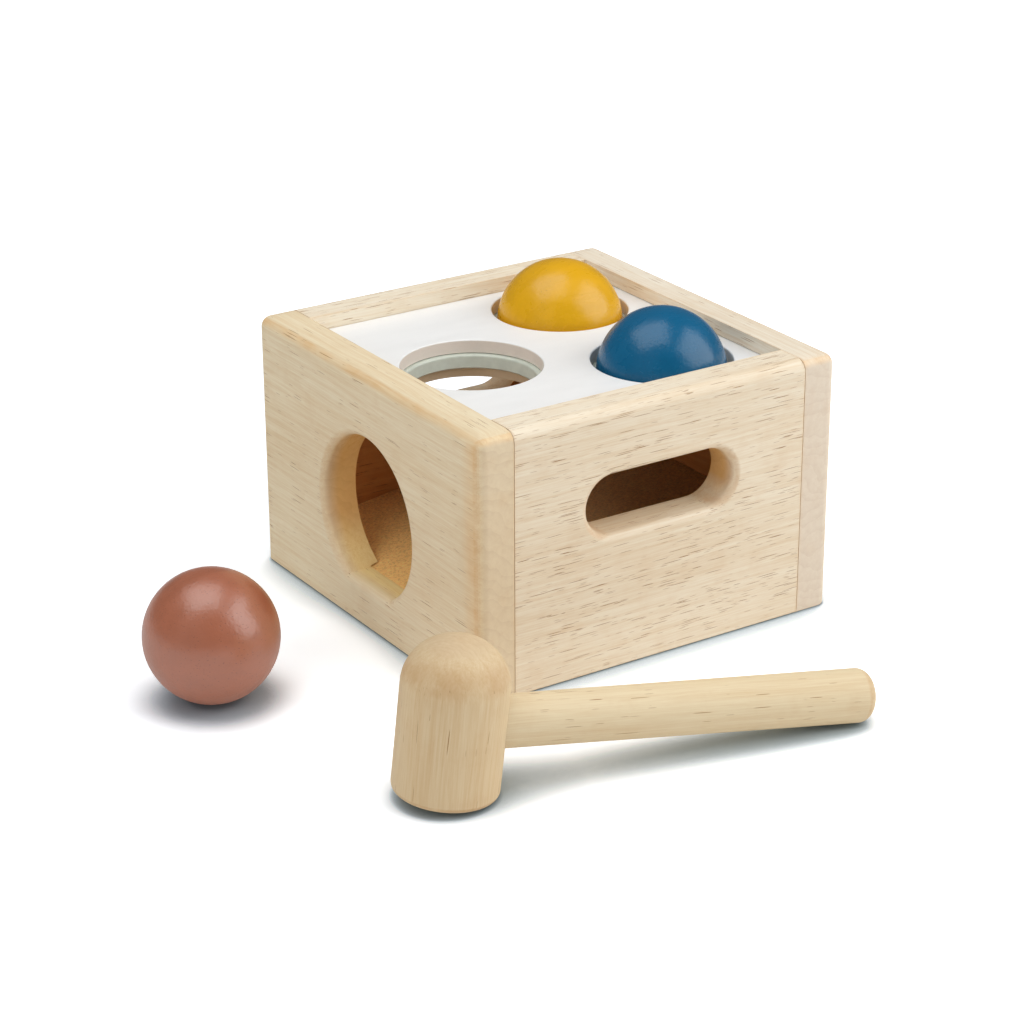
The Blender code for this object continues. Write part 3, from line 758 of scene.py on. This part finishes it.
def paint(name, tint, specks=0.6, depth=0.45, roughness=0.38, relief=0.09, variation=0.1, gloss=0.3,
          core=None, shade_height=0.0):
    """Satin paint over wood: a slow change of tone, darker specks in the pores and a faint ripple.

    With a core, only the faces that look up are painted and the rest shows the raw board, with a
    painted shade that makes it browner below the shade height.
    """
    material, graph, shader = new_material(name)
    place = graph.place()
    figure = graph.add("ShaderNodeGroup", {}, node_tree=paint_figure())
    graph.join(figure.inputs["Vector"], place)
    graph.join(figure.inputs["Speck Share"], specks)
    plain = (*tint, 1.0)
    deep = (*(c * (1 - depth) for c in tint), 1.0)
    pale = (*(min(1.0, c * (1 + variation)) for c in tint), 1.0)
    dull = (*(c * (1 - variation) for c in tint), 1.0)
    base = graph.mix(graph.remap(figure.outputs["Tone"], 0.35, 0.65), dull, pale)
    base = graph.mix(0.5, plain, base)
    base = graph.mix(graph.math("MULTIPLY", figure.outputs["Specks"], 0.7), base, deep)
    if core is not None:
        normal = graph.add("ShaderNodeTexCoord").outputs["Normal"]
        up = graph.part(normal, "Z")
        height = graph.part(place, "Z")
        # Painted shade: the raw board is browner below the rings
        low = graph.remap(height, shade_height, shade_height - 1.0 * MM)
        raw = graph.mix(low, (*core, 1.0), (*(c * d for c, d in zip(core, CORE_SHADE_BELOW_RINGS)), 1.0))
        raw = graph.mix(graph.math("MULTIPLY", figure.outputs["Tone"], 0.15), raw, (0.0, 0.0, 0.0, 1.0))
        base = graph.mix(graph.remap(up, 0.3, 0.5), raw, base)
    graph.join(shader.inputs["Base Color"], base)
    rough = graph.remap(figure.outputs["Tone"], 0.3, 0.7, roughness - 0.04, roughness + 0.06)
    graph.join(shader.inputs["Roughness"], rough)
    graph.bump(shader, figure.outputs["Height"], 0.5, relief * MM)
    shader.inputs["Specular IOR Level"].default_value = gloss
    return material


def soft_rubber(name, tint):
    """Clear grey-green rubber: light passes into it, with faint cloudiness and fine moulding lines."""
    material, graph, shader = new_material(name)
    place = graph.place()
    vector = graph.stretch(place, PER_MM)
    cloud = graph.noise(vector, 0.25, 2.0)
    pale = (*(min(1.0, c * 1.12) for c in tint), 1.0)
    base = graph.mix(graph.remap(cloud, 0.3, 0.7), (*tint, 1.0), pale)
    graph.join(shader.inputs["Base Color"], base)
    graph.join(shader.inputs["Roughness"], graph.remap(cloud, 0.3, 0.7, 0.16, 0.24))
    fine = graph.noise(graph.stretch(vector, (1.0, 1.0, 4.0)), 1.2, 2.0)
    graph.bump(shader, fine, 0.2, 0.03 * MM)
    shader.inputs["Transmission Weight"].default_value = 0.25
    shader.inputs["IOR"].default_value = 1.45
    return material


def fibre_board(name, tint):
    """Brown fibre board: matt, with short fibres and light and dark specks.

    Its low end, at the left, is painted lighter and its middle darker: painted light and shade.
    """
    material, graph, shader = new_material(name)
    place = graph.place()
    vector = graph.stretch(place, PER_MM)
    mottle = graph.noise(vector, 0.9, 4.0, 0.7)
    fibre = graph.noise(graph.stretch(vector, (0.4, 1.6, 1.0)), 2.2, 3.0, 0.7)
    dark = (*(c * 0.55 for c in tint), 1.0)
    pale = (*(min(1.0, c * 1.45) for c in tint), 1.0)
    base = graph.mix(graph.remap(mottle, 0.32, 0.68), dark, (*tint, 1.0))
    base = graph.mix(graph.remap(fibre, 0.5, 0.75, 0.0, 0.7), base, pale)
    # Painted light at the low end and painted shade in the middle, along x
    across = graph.part(place, "X")
    lit_end = graph.remap(across, BOX_MIDDLE_X, LEFT_HIGH.x, 0.0, 1.0, smooth=True)
    wear_and_shade = graph.mix(lit_end, RAMP_MIDDLE_SHADE, RAMP_LIT_END)
    base = graph.mix(1.0, base, wear_and_shade, "MULTIPLY")
    graph.join(shader.inputs["Base Color"], base)
    graph.join(shader.inputs["Roughness"], graph.remap(mottle, 0.3, 0.7, 0.72, 0.88))
    graph.bump(shader, fibre, 0.5, 0.08 * MM)
    return material


def rectangle_reach(angles, low, high, corner):
    """Distance from the origin to the edge of rectangles with round corners, along each angle.

    low and high hold each ring's corners, and corner the radii of its lower and its upper ones. A
    ray meets the nearer of the two sides that it faces. Where that point lies past both starts of a
    corner's arc, the ray meets the arc, at the larger root of |t d - c| = r.
    """
    along = np.stack([np.cos(angles), np.sin(angles)], axis=-1)[None]
    facing = np.where(along >= 0, 1.0, -1.0)
    side = np.where(along >= 0, high[:, None], low[:, None])
    safe = np.where(np.abs(along) < 1e-9, 1e-9 * facing, along)
    reach = np.min(side / safe, axis=-1)
    radius = np.where(along[..., 1] >= 0, corner[:, 1:], corner[:, :1])
    centre = side - facing * radius[..., None]
    past = np.all((reach[..., None] * along - centre) * facing > 0, axis=-1)
    inner = np.sum(centre * along, axis=-1)
    root = inner ** 2 - np.sum(centre ** 2, axis=-1) + radius ** 2
    return np.where(past, inner + np.sqrt(np.maximum(root, 0.0)), reach)


def slot_reach(angles, grow, box):
    """Distance from a slot's middle to its edge: its straight sides, or else the round ends."""
    radius = (box.slot_height / 2 + grow)[:, None]
    straight = (box.slot_length - box.slot_height) / 2
    across = np.abs(np.cos(angles))[None]
    up = np.abs(np.sin(angles))[None]
    to_side = radius / np.maximum(up, 1e-9)
    to_end = straight * across + np.sqrt(np.maximum(radius ** 2 - (straight * up) ** 2, 0.0))
    return np.where(to_side * across <= straight, to_side, to_end)


def exit_reach(angles, grow, box):
    """Distance from the exit hole's centre to its edge: the circle, or else the flat sill."""
    radius = (box.exit_radius + grow)[:, None]
    down = np.maximum(-np.sin(angles), 1e-9)[None]
    sill = (box.exit_centre - box.sill + grow)[:, None]
    return np.minimum(radius, sill / down)


def round_depths(radius, steps):
    """Depths of a round's rings, from its start inside to the outer face."""
    return radius * (1 - np.sin(np.linspace(0, np.pi / 2, steps + 1)))


def round_inset(depth, radius):
    """How far a round of the radius draws an outline in at a depth from the face."""
    inside = np.clip(radius - depth, 0.0, radius)
    return radius - np.sqrt(radius ** 2 - inside ** 2)


def wall_surface(half_width, height, box, sides_rounded, hole=None, centre=0.0):
    """A wall with rounded outer edges, an eased foot and an optional hole, in (across, up, depth).

    Each ring is the wall's outline at one depth, drawn in by the round of its edges. The rings run
    from the inner face over the edges to the outer face, and with a hole on through its lip and
    bore back to the inner face, where the surface closes. All rings share the same rays from the
    hole's centre.
    """
    round_depth = round_depths(box.edge_round, ARC_STEPS)
    ease_depth = round_depths(box.ease, FINE_STEPS)
    foot_depth = round_depths(box.foot_round, FINE_STEPS)
    depth = np.unique(np.concatenate([round_depth, foot_depth, ease_depth, WALL - ease_depth]))[::-1]
    end_round = box.edge_round if sides_rounded else box.ease
    back = round_inset(WALL - depth, box.ease)
    inset_up = np.maximum(round_inset(depth, box.edge_round), back)
    inset_foot = np.maximum(round_inset(depth, box.foot_round), back)
    inset_across = np.maximum(round_inset(depth, end_round), back)
    low = np.stack([inset_across - half_width, inset_foot - centre], axis=-1)
    high = np.stack([half_width - inset_across, height - inset_up - centre], axis=-1)
    corner = np.stack([box.foot_round - inset_foot, box.edge_round - inset_up], axis=-1) * sides_rounded

    angles = [np.linspace(-np.pi, np.pi, RAYS, endpoint=False)]
    turn = np.linspace(0, np.pi / 2, ARC_STEPS + 1) if sides_rounded else np.array([np.pi / 4])
    for across, up in ((1, 1), (-1, 1), (-1, -1), (1, -1)):
        radius = corner[:, 1:] if up > 0 else corner[:, :1]
        x = np.where(across > 0, high[:, :1], low[:, :1]) + across * radius * (np.cos(turn) - 1)
        y = np.where(up > 0, high[:, 1:], low[:, 1:]) + up * radius * (np.sin(turn) - 1)
        chosen = slice(None) if not sides_rounded else slice(len(depth) // 2, len(depth) // 2 + 1)
        angles.append(np.arctan2(y[chosen], x[chosen]).ravel())
    if hole is exit_reach:
        down = box.exit_centre - box.sill
        side = math.sqrt(box.exit_radius ** 2 - down ** 2)
        angles.append(np.array([math.atan2(-down, side), math.atan2(-down, -side)]))
    angles = np.unique(np.round(np.concatenate(angles), 6))

    reach = rectangle_reach(angles, low, high, corner)
    depths = depth
    if hole is not None:
        lip = round_depths(box.lip_round, ARC_STEPS)[::-1]
        inner = WALL - round_depths(box.ease * 2, FINE_STEPS)
        hole_depth = np.concatenate([lip, inner])
        inner_grow = round_inset(WALL - hole_depth, box.ease * 2)
        grow = np.maximum(round_inset(hole_depth, box.lip_round), inner_grow)
        reach = np.concatenate([reach, hole(angles, grow, box)])
        depths = np.concatenate([depth, hole_depth])
    rings = np.stack([
        reach * np.cos(angles),
        reach * np.sin(angles) + centre,
        depths[:, None] + 0 * reach,
    ], axis=-1)
    return loft(rings, closed=hole is not None)


def wall_matrix(across, inward, x, y):
    """Matrix from a wall's (across, up, depth) to the frame, with the outer face's foot at x, y."""
    turn = Matrix((across, (0, 0, 1), inward)).transposed().to_4x4()
    return Matrix.Translation((x, y, 0)) @ turn


def dowel_holes(sides, ends):
    """Holes for the dowels at these sides and ends of the box, from the dowels' own places."""
    radius = DOWEL_HOLE_RADIUS
    holes = []
    for side in sides:
        for end in ends:
            for level in LEVELS:
                low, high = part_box(f"dowel_{end}_{side}_{level}")
                middle = (low + high) / 2
                half = (high.x - low.x) / 2 + JOINT_GAP
                profile = [(0, -half), (radius, -half), (radius, half), (0, half)]
                holes.append(placed(turned(profile, DOWEL_STEPS), lying(middle.x, middle.y, middle.z)))
    return holes


def ramp_section(box, grow):
    """Corners of the ramp's section between its two ends: x and z, grown above and below."""
    drop = box.ramp_thickness / math.cos(box.ramp_slope) + grow
    high = RAMP_HIGH.z + grow
    low = RAMP_HIGH.z - (RAMP_HIGH.x - RAMP_LOW.x) * math.tan(box.ramp_slope) + grow
    return [
        (RAMP_LOW.x, low - drop - grow),
        (RAMP_HIGH.x, high - drop - grow),
        (RAMP_HIGH.x, high),
        (RAMP_LOW.x, low),
    ]


def ramp_surface(box, grow, low_y, high_y):
    """The ramp's board as a loft of its section from front to back."""
    section = np.array(ramp_section(box, grow))
    rings = np.stack([
        np.stack([section[:, 0], 0 * section[:, 0] + y, section[:, 1]], axis=-1) for y in (low_y, high_y)
    ])
    return loft(rings, closed=False)


def housings(box, side):
    """Housings of the board and the ramp in a side wall."""
    inner = LEFT_HIGH.x if side < 0 else RIGHT_LOW.x
    ends = sorted((inner + side * HOUSING_DEPTH, inner - side * CLEAR))
    front = LEFT_LOW.y + WALL
    back = LEFT_HIGH.y - WALL
    board = block((ends[0], front, BOARD_LOW.z - JOINT_GAP), (ends[1], back, BOARD_HIGH.z + JOINT_GAP))
    slope = math.tan(box.ramp_slope)
    points, faces = ramp_surface(box, RAMP_PLAY if side < 0 else JOINT_GAP, front, back)
    for end, x in ((0, ends[0]), (1, ends[1])):
        chosen = points[:, 0] == (RAMP_LOW.x if end == 0 else RAMP_HIGH.x)
        points[chosen, 2] += (x - points[chosen, 0]) * slope
        points[chosen, 0] = x
    return [board, (points, faces)]


def build_wall(name, surface, place, cuts, wood):
    """Make a wall of the box from its surface, cut its joints into it and finish it."""
    piece = new_object(name + "_wood", make_mesh(name, placed(surface, place)))
    cut_out(piece, cuts)
    finish_piece(piece, name, "box", wood)


class BENCH_OT_walls(Operator):
    """Build the four walls of the box"""

    bl_idname = "bench.walls"
    bl_label = "Walls"

    def execute(self, context):
        box = context.scene.bench_box
        look = context.scene.bench_wood
        half_depth = (LEFT_HIGH.y - LEFT_LOW.y) / 2
        half_front = (FRONT_HIGH.x - FRONT_LOW.x) / 2 + box.seam
        side_walls = (
            ("left", -1, LEFT_LOW.x, exit_reach, box.exit_centre, LEFT_PITH, look.left_tint),
            ("right", 1, RIGHT_HIGH.x, None, BOX_HEIGHT / 2, RIGHT_PITH, look.right_tint),
        )
        for side, outward, x, hole, centre, pith, tint in side_walls:
            name = side + "_wall"
            surface = wall_surface(half_depth, BOX_HEIGHT, box, True, hole, centre)
            place = wall_matrix((0, 1, 0), (-outward, 0, 0), x, BOX_MIDDLE_Y)
            wood = timber(name + " wood", (0, 1, 0), (x + pith[0], 0, pith[1]), look, tint,
                          pore_share=SIDE_PORE_SHARE, boxed=True, ends=True)
            build_wall(name, surface, place, dowel_holes([side], ENDS) + housings(box, outward), wood)
        end_walls = (
            ("front", -1, FRONT_LOW.y, FRONT_PITH, look.front_tint),
            ("back", 1, BACK_HIGH.y, BACK_PITH, look.back_tint),
        )
        for end, outward, y, pith, tint in end_walls:
            name = end + "_wall"
            surface = wall_surface(half_front, BOX_HEIGHT, box, False, slot_reach, box.slot_centre)
            place = wall_matrix((1, 0, 0), (0, -outward, 0), BOX_MIDDLE_X, y)
            wood = timber(name + " wood", (1, 0, 0), (0, y + pith[0], pith[1]), look, tint,
                          pore_share=END_PORE_SHARE, boxed=True)
            build_wall(name, surface, place, dowel_holes(SIDES, [end]), wood)
        return {"FINISHED"}


class BENCH_OT_dowels(Operator):
    """Give the dowels inside the corners their wood"""

    bl_idname = "bench.dowels"
    bl_label = "Dowels"

    def execute(self, context):
        look = context.scene.bench_wood
        material = timber("dowel wood", (1, 0, 0), (0, 0, 0), look, band_width=3.0, warmth=0.25)
        for name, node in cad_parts.items():
            if name.startswith("dowel_"):
                node.data.materials.clear()
                node.data.materials.append(material)
        return {"FINISHED"}


class BENCH_OT_ramp(Operator):
    """Build the sloping fibre board under the holes"""

    bl_idname = "bench.ramp"
    bl_label = "Ramp"

    def execute(self, context):
        box = context.scene.bench_box
        piece = new_object("ramp_board", make_mesh("ramp", ramp_surface(box, 0.0, RAMP_LOW.y, RAMP_HIGH.y)))
        bevel = piece.modifiers.new("worn edges", "BEVEL")
        bevel.width = box.ease
        bevel.segments = 2
        fibre = fibre_board("fibre board", context.scene.bench_paint.fibre)
        finish_piece(piece, "ramp", "box", fibre)
        return {"FINISHED"}


def board_hole_profile(box, ring_low, ring_high):
    """Profile of a hole's cutter in the board: eased upper edge, bore and ring groove."""
    wide = box.hole_radius + box.hole_ease
    groove = box.hole_radius + box.groove_depth
    eased = arc((wide, BOARD_HIGH.z - box.hole_ease), box.hole_ease, np.pi / 2, np.pi, ARC_STEPS)
    return np.concatenate([
        [(0, BOARD_HIGH.z + CLEAR), (wide, BOARD_HIGH.z + CLEAR)],
        eased,
        [
            (box.hole_radius, ring_high + JOINT_GAP),
            (groove, ring_high + JOINT_GAP),
            (groove, ring_low - JOINT_GAP),
            (box.hole_radius, ring_low - JOINT_GAP),
            (box.hole_radius, BOARD_LOW.z - CLEAR),
            (0, BOARD_LOW.z - CLEAR),
        ],
    ])


def slab_surface(low, high, ease):
    """A slab with lightly rounded edges: rings of its outline, drawn in at the top and the bottom."""
    angle = np.linspace(-np.pi / 2, np.pi / 2, 2 * FINE_STEPS + 1)
    inset = ease * (1 - np.cos(angle))
    z = np.where(angle < 0, low[2] + ease, high[2] - ease) + ease * np.sin(angle)
    x = np.stack([low[0] + inset, high[0] - inset, high[0] - inset, low[0] + inset], axis=-1)
    y = np.stack([low[1] + inset, low[1] + inset, high[1] - inset, high[1] - inset], axis=-1)
    z = z[:, None] + 0 * x
    return loft(np.stack([x, y, z], axis=-1), closed=False)


class BENCH_OT_board(Operator):
    """Build the white board with its three holes"""

    bl_idname = "bench.board"
    bl_label = "Hole board"

    def execute(self, context):
        box = context.scene.bench_box
        slab = slab_surface(BOARD_LOW, BOARD_HIGH, box.ease)
        piece = new_object("hole_board_white", make_mesh("hole_board", slab))
        cuts = []
        for name in RING_NAMES:
            low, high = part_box(name)
            profile = board_hole_profile(box, low.z, high.z)
            middle = (low + high) / 2
            cuts.append(placed(turned(profile, TURN_STEPS), standing(middle.x, middle.y)))
        cut_out(piece, cuts)
        tints = context.scene.bench_paint
        white = paint("white paint", tints.white, specks=0.12, depth=0.08, roughness=0.42, relief=0.04,
                      variation=0.02, gloss=0.4, core=tints.core, shade_height=low.z)
        finish_piece(piece, "hole_board", "box", white)
        return {"FINISHED"}


def ring_profile(ring, outer, low, high):
    """Section of a rubber ring: square in its groove, a soft upper edge and a lip low down inside."""
    shoulder = ring.lip_radius + ring.taper
    top_centre = (shoulder + ring.top_round, high - ring.top_round)
    lip_centre = (ring.lip_radius + ring.lip_height, low + ring.lip_height)
    top = arc(top_centre, ring.top_round, np.pi / 2, np.pi, ARC_STEPS)
    lip = arc(lip_centre, ring.lip_height, np.pi, 1.5 * np.pi, ARC_STEPS)
    return np.concatenate([[(outer, low), (outer, high)], top, lip])


class BENCH_OT_rings(Operator):
    """Build the rubber ring in each hole"""

    bl_idname = "bench.rings"
    bl_label = "Rings"

    def execute(self, context):
        material = soft_rubber("soft rubber", context.scene.bench_paint.ring)
        for name in RING_NAMES:
            low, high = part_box(name)
            middle = (low + high) / 2
            profile = ring_profile(context.scene.bench_ring, (high.x - low.x) / 2, low.z, high.z)
            surface = placed(turned(profile, TURN_STEPS), standing(middle.x, middle.y))
            piece = new_object(name + "_rubber", make_mesh(name, surface))
            finish_piece(piece, name, "box", material)
        return {"FINISHED"}


class BENCH_OT_balls(Operator):
    """Build the three painted balls"""

    bl_idname = "bench.balls"
    bl_label = "Balls"

    def execute(self, context):
        tints = context.scene.bench_paint
        for name, tint in (("yellow", tints.yellow), ("blue", tints.blue), ("red", tints.terracotta)):
            node = name + "_ball"
            low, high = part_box(node)
            radius = (high.z - low.z) / 2
            middle = (low + high) / 2
            profile = arc((0, 0), radius, -np.pi / 2, np.pi / 2, BALL_STEPS)
            profile[[0, -1], 0] = 0.0
            surface = placed(turned(profile, TURN_STEPS), standing(*middle))
            piece = new_object(node + "_painted", make_mesh(node, surface))
            slot = ("terracotta" if name == "red" else name) + "_lacquer"
            gloss, roughness, specks = BALL_FINISH[name]
            coat = paint(slot.replace("_", " "), tint, specks=specks, roughness=roughness,
                         relief=BALL_RELIEF, variation=BALL_VARIATION, gloss=gloss)
            finish_piece(piece, node, node, coat)
        return {"FINISHED"}


def head_profile(hammer):
    """Profile of the hammer's head: face, eased edge, straight side and an elliptic dome."""
    edge_centre = (hammer.head_radius - hammer.face_round, hammer.face_round)
    edge = arc(edge_centre, hammer.face_round, -np.pi / 2, 0, ARC_STEPS)
    angle = np.linspace(0, np.pi / 2, DOME_STEPS + 1)
    shoulder = hammer.head_height - hammer.dome_height
    dome = np.stack([
        hammer.head_radius * np.cos(angle),
        shoulder + hammer.dome_height * np.sin(angle),
    ], axis=-1)
    dome[-1, 0] = 0.0
    return np.concatenate([[(0, 0)], edge, dome])


def handle_profile(hammer):
    """Profile of the handle from the bottom of its socket to its rounded end."""
    root = hammer.head_radius - SOCKET_DEPTH + JOINT_GAP
    end_centre = (hammer.end_radius - hammer.end_round, hammer.handle_reach - hammer.end_round)
    end = arc(end_centre, hammer.end_round, 0, np.pi / 2, ARC_STEPS * 2)
    side = np.linspace(0, 1, FINE_STEPS * 2)[:, None]
    near = np.array([hammer.root_radius, hammer.head_radius])
    shaft = near + (end[0] - near) * side[:-1]
    return np.concatenate([[(0, root), (hammer.root_radius, root)], shaft, end, [(0, hammer.handle_reach)]])


class BENCH_OT_hammer(Operator):
    """Build the hammer's head and handle as they lie"""

    bl_idname = "bench.hammer"
    bl_label = "Hammer"

    def execute(self, context):
        hammer = context.scene.bench_hammer
        look = context.scene.bench_wood
        seat = (Matrix.Translation(hammer.foot) @ Matrix.Rotation(hammer.turn, 4, "Z")
                @ Matrix.Rotation(hammer.lean, 4, "Y"))
        upright = seat.to_3x3() @ Vector((0, 0, 1))
        along = seat.to_3x3() @ Vector((1, 0, 0))
        surface = placed(turned(head_profile(hammer), TURN_STEPS), seat)
        head = new_object("hammer_head_wood", make_mesh("hammer_head", surface))
        radius = hammer.root_radius + SOCKET_GAP
        bottom = hammer.head_radius - SOCKET_DEPTH
        mouth = hammer.head_radius + CLEAR
        socket = [(0, bottom), (radius, bottom), (radius, mouth), (0, mouth)]
        axis = seat @ lying(0, 0, hammer.handle_height)
        cut_out(head, [placed(turned(socket, TURN_STEPS), axis)])
        head_wood = timber("hammer head wood", upright, tuple(Vector(hammer.foot) + HEAD_PITH),
                           look, look.head_tint, band_width=2.4, pore_share=0.15, warmth=0.15, figured=0.85)
        finish_piece(head, "hammer_head", "hammer", head_wood)

        surface = placed(turned(handle_profile(hammer), TURN_STEPS), axis)
        handle = new_object("hammer_handle_wood", make_mesh("hammer_handle", surface))
        handle_wood = timber("hammer handle wood", along, tuple(Vector(hammer.foot) + HANDLE_PITH),
                             look, look.handle_tint, band_width=6.0, pore_share=0.2, figured=0.8)
        finish_piece(handle, "hammer_handle", "hammer", handle_wood)
        return {"FINISHED"}


def add_lamp(name, place, size, target, power):
    """A square area lamp that faces a point."""
    light = bpy.data.lights.new(name, "AREA")
    light.shape = "SQUARE"
    light.size = size
    light.energy = power
    lamp = bpy.data.objects.new(name, light)
    bpy.context.scene.collection.objects.link(lamp)
    lamp.location = place
    lamp.rotation_euler = (Vector(target) - Vector(place)).to_track_quat("-Z", "Y").to_euler()
    return lamp


def add_sky(strength):
    """Even light from all round; the camera sees it white, and glossy surfaces see half of it."""
    world = bpy.data.worlds.new("studio")
    world.use_nodes = True
    bpy.context.scene.world = world
    graph = Graph(world.node_tree)
    background = world.node_tree.nodes["Background"]
    rays = graph.add("ShaderNodeLightPath")
    background.inputs["Color"].default_value = (1.0, 1.0, 1.0, 1.0)
    seen = graph.math("MULTIPLY", rays.outputs["Is Camera Ray"], 1.0 - strength)
    mirrored = graph.math("MULTIPLY", rays.outputs["Is Glossy Ray"], -strength / 2)
    level = graph.math("ADD", graph.math("ADD", seen, mirrored), strength)
    graph.join(background.inputs["Strength"], level)


def add_floor():
    """A white floor with the lamps' soft shadows; what the camera sees is also darkened near and under
    things, a painted shadow.
    """
    points = np.array([[x, y, 0.0] for x, y in ((-1, -1), (1, -1), (1, 1), (-1, 1))]) * FLOOR_REACH
    floor = new_object("floor", make_mesh("floor", (points, [(0, 1, 2, 3)])))
    material, graph, shader = new_material("white floor")
    seen = graph.add("ShaderNodeLightPath").outputs["Is Camera Ray"]
    # Painted shadow: the ambient occlusion darkens the floor's colour as the camera sees it, near, under and
    # at the contact of things
    wide = graph.add("ShaderNodeAmbientOcclusion", {"Distance": SHADE_REACH}, samples=16).outputs["AO"]
    close = graph.add("ShaderNodeAmbientOcclusion", {"Distance": CONTACT_SHADOW_REACH}, samples=16).outputs["AO"]
    shadowed_floor = graph.mix(graph.remap(wide, 0.48, 0.75), FLOOR_NEAR_SHADOW, FLOOR_OPEN)
    shadowed_floor = graph.mix(graph.remap(wide, 0.05, 0.4), FLOOR_UNDER_SHADOW, shadowed_floor)
    shadowed_floor = graph.mix(graph.remap(close, 0.3, 0.8), FLOOR_CONTACT_SHADOW, shadowed_floor)
    graph.join(shader.inputs["Base Color"], graph.mix(seen, FLOOR_BOUNCE, shadowed_floor))
    shader.inputs["Roughness"].default_value = 0.9
    shader.inputs["Specular IOR Level"].default_value = 0.0
    place = graph.place()
    away = graph.add("ShaderNodeVectorMath", {0: place}, operation="LENGTH").outputs["Value"]
    far = graph.remap(away, 0.35, 1.2, 0.0, 0.8)
    shader.inputs["Emission Color"].default_value = (1.0, 1.0, 1.0, 1.0)
    graph.join(shader.inputs["Emission Strength"], graph.math("MULTIPLY", seen, far))
    floor.data.materials.append(material)


def add_camera(stage):
    """The camera at the photograph's angle, distance and lens."""
    data = bpy.data.cameras.new("camera")
    data.sensor_width = SENSOR_WIDTH
    data.lens = stage.lens
    camera = bpy.data.objects.new("camera", data)
    bpy.context.scene.collection.objects.link(camera)
    level = math.cos(stage.elevation)
    back = Vector((
        -math.sin(stage.azimuth) * level,
        -math.cos(stage.azimuth) * level,
        math.sin(stage.elevation),
    ))
    right = Vector((0, 0, 1)).cross(back).normalized()
    turn = Matrix((right, back.cross(right), back)).transposed()
    rolled = turn @ Matrix.Rotation(stage.roll, 3, "Z")
    camera.matrix_world = Matrix.Translation(stage.camera_place) @ rolled.to_4x4()
    bpy.context.scene.camera = camera


class BENCH_OT_stage(Operator):
    """Set the floor, the light and the camera"""

    bl_idname = "bench.stage"
    bl_label = "Floor, light and camera"

    def execute(self, context):
        stage = context.scene.bench_stage
        context.scene.view_settings.view_transform = "Standard"
        add_sky(stage.sky)
        add_floor()
        target = (BOX_MIDDLE_X, BOX_MIDDLE_Y, BOX_HEIGHT / 2)
        add_lamp("top light", *TOP_LAMP, target, stage.key)
        add_lamp("side light", *SIDE_LAMP, target, stage.side)
        fill = add_lamp("fill light", *FILL_LAMP, target, stage.fill)
        fill.visible_glossy = False
        add_camera(stage)
        return {"FINISHED"}


OPERATORS = (
    BENCH_OT_stage,
    BENCH_OT_walls,
    BENCH_OT_dowels,
    BENCH_OT_ramp,
    BENCH_OT_board,
    BENCH_OT_rings,
    BENCH_OT_balls,
    BENCH_OT_hammer,
)

SETTINGS = {
    "bench_box": BoxSizes,
    "bench_ring": RingSizes,
    "bench_hammer": HammerSizes,
    "bench_wood": WoodLook,
    "bench_paint": PaintLook,
    "bench_stage": StageLook,
}


class BENCH_PT_sidebar(Panel):
    """Sidebar panel with the steps and the settings"""

    bl_idname = "BENCH_PT_sidebar"
    bl_label = "Pounding Bench"
    bl_space_type = "VIEW_3D"
    bl_region_type = "UI"
    bl_category = "Toy"

    def draw(self, context):
        for operator in OPERATORS:
            self.layout.operator(operator.bl_idname)
        for name, group in SETTINGS.items():
            box = self.layout.box()
            for setting in group.__annotations__:
                box.prop(getattr(context.scene, name), setting)


CLASSES = (*SETTINGS.values(), *OPERATORS, BENCH_PT_sidebar)


def register():
    """Register the classes and hang the settings on the scene."""
    for part in CLASSES:
        bpy.utils.register_class(part)
    for name, group in SETTINGS.items():
        setattr(bpy.types.Scene, name, PointerProperty(type=group))


def unregister():
    """Take the settings and the classes away again."""
    for name in SETTINGS:
        delattr(bpy.types.Scene, name)
    for part in reversed(CLASSES):
        bpy.utils.unregister_class(part)


def main():
    """Build every piece in order."""
    register()
    bpy.ops.bench.stage()
    bpy.ops.bench.walls()
    bpy.ops.bench.dowels()
    bpy.ops.bench.ramp()
    bpy.ops.bench.board()
    bpy.ops.bench.rings()
    bpy.ops.bench.balls()
    bpy.ops.bench.hammer()


if __name__ == "__main__":
    main()
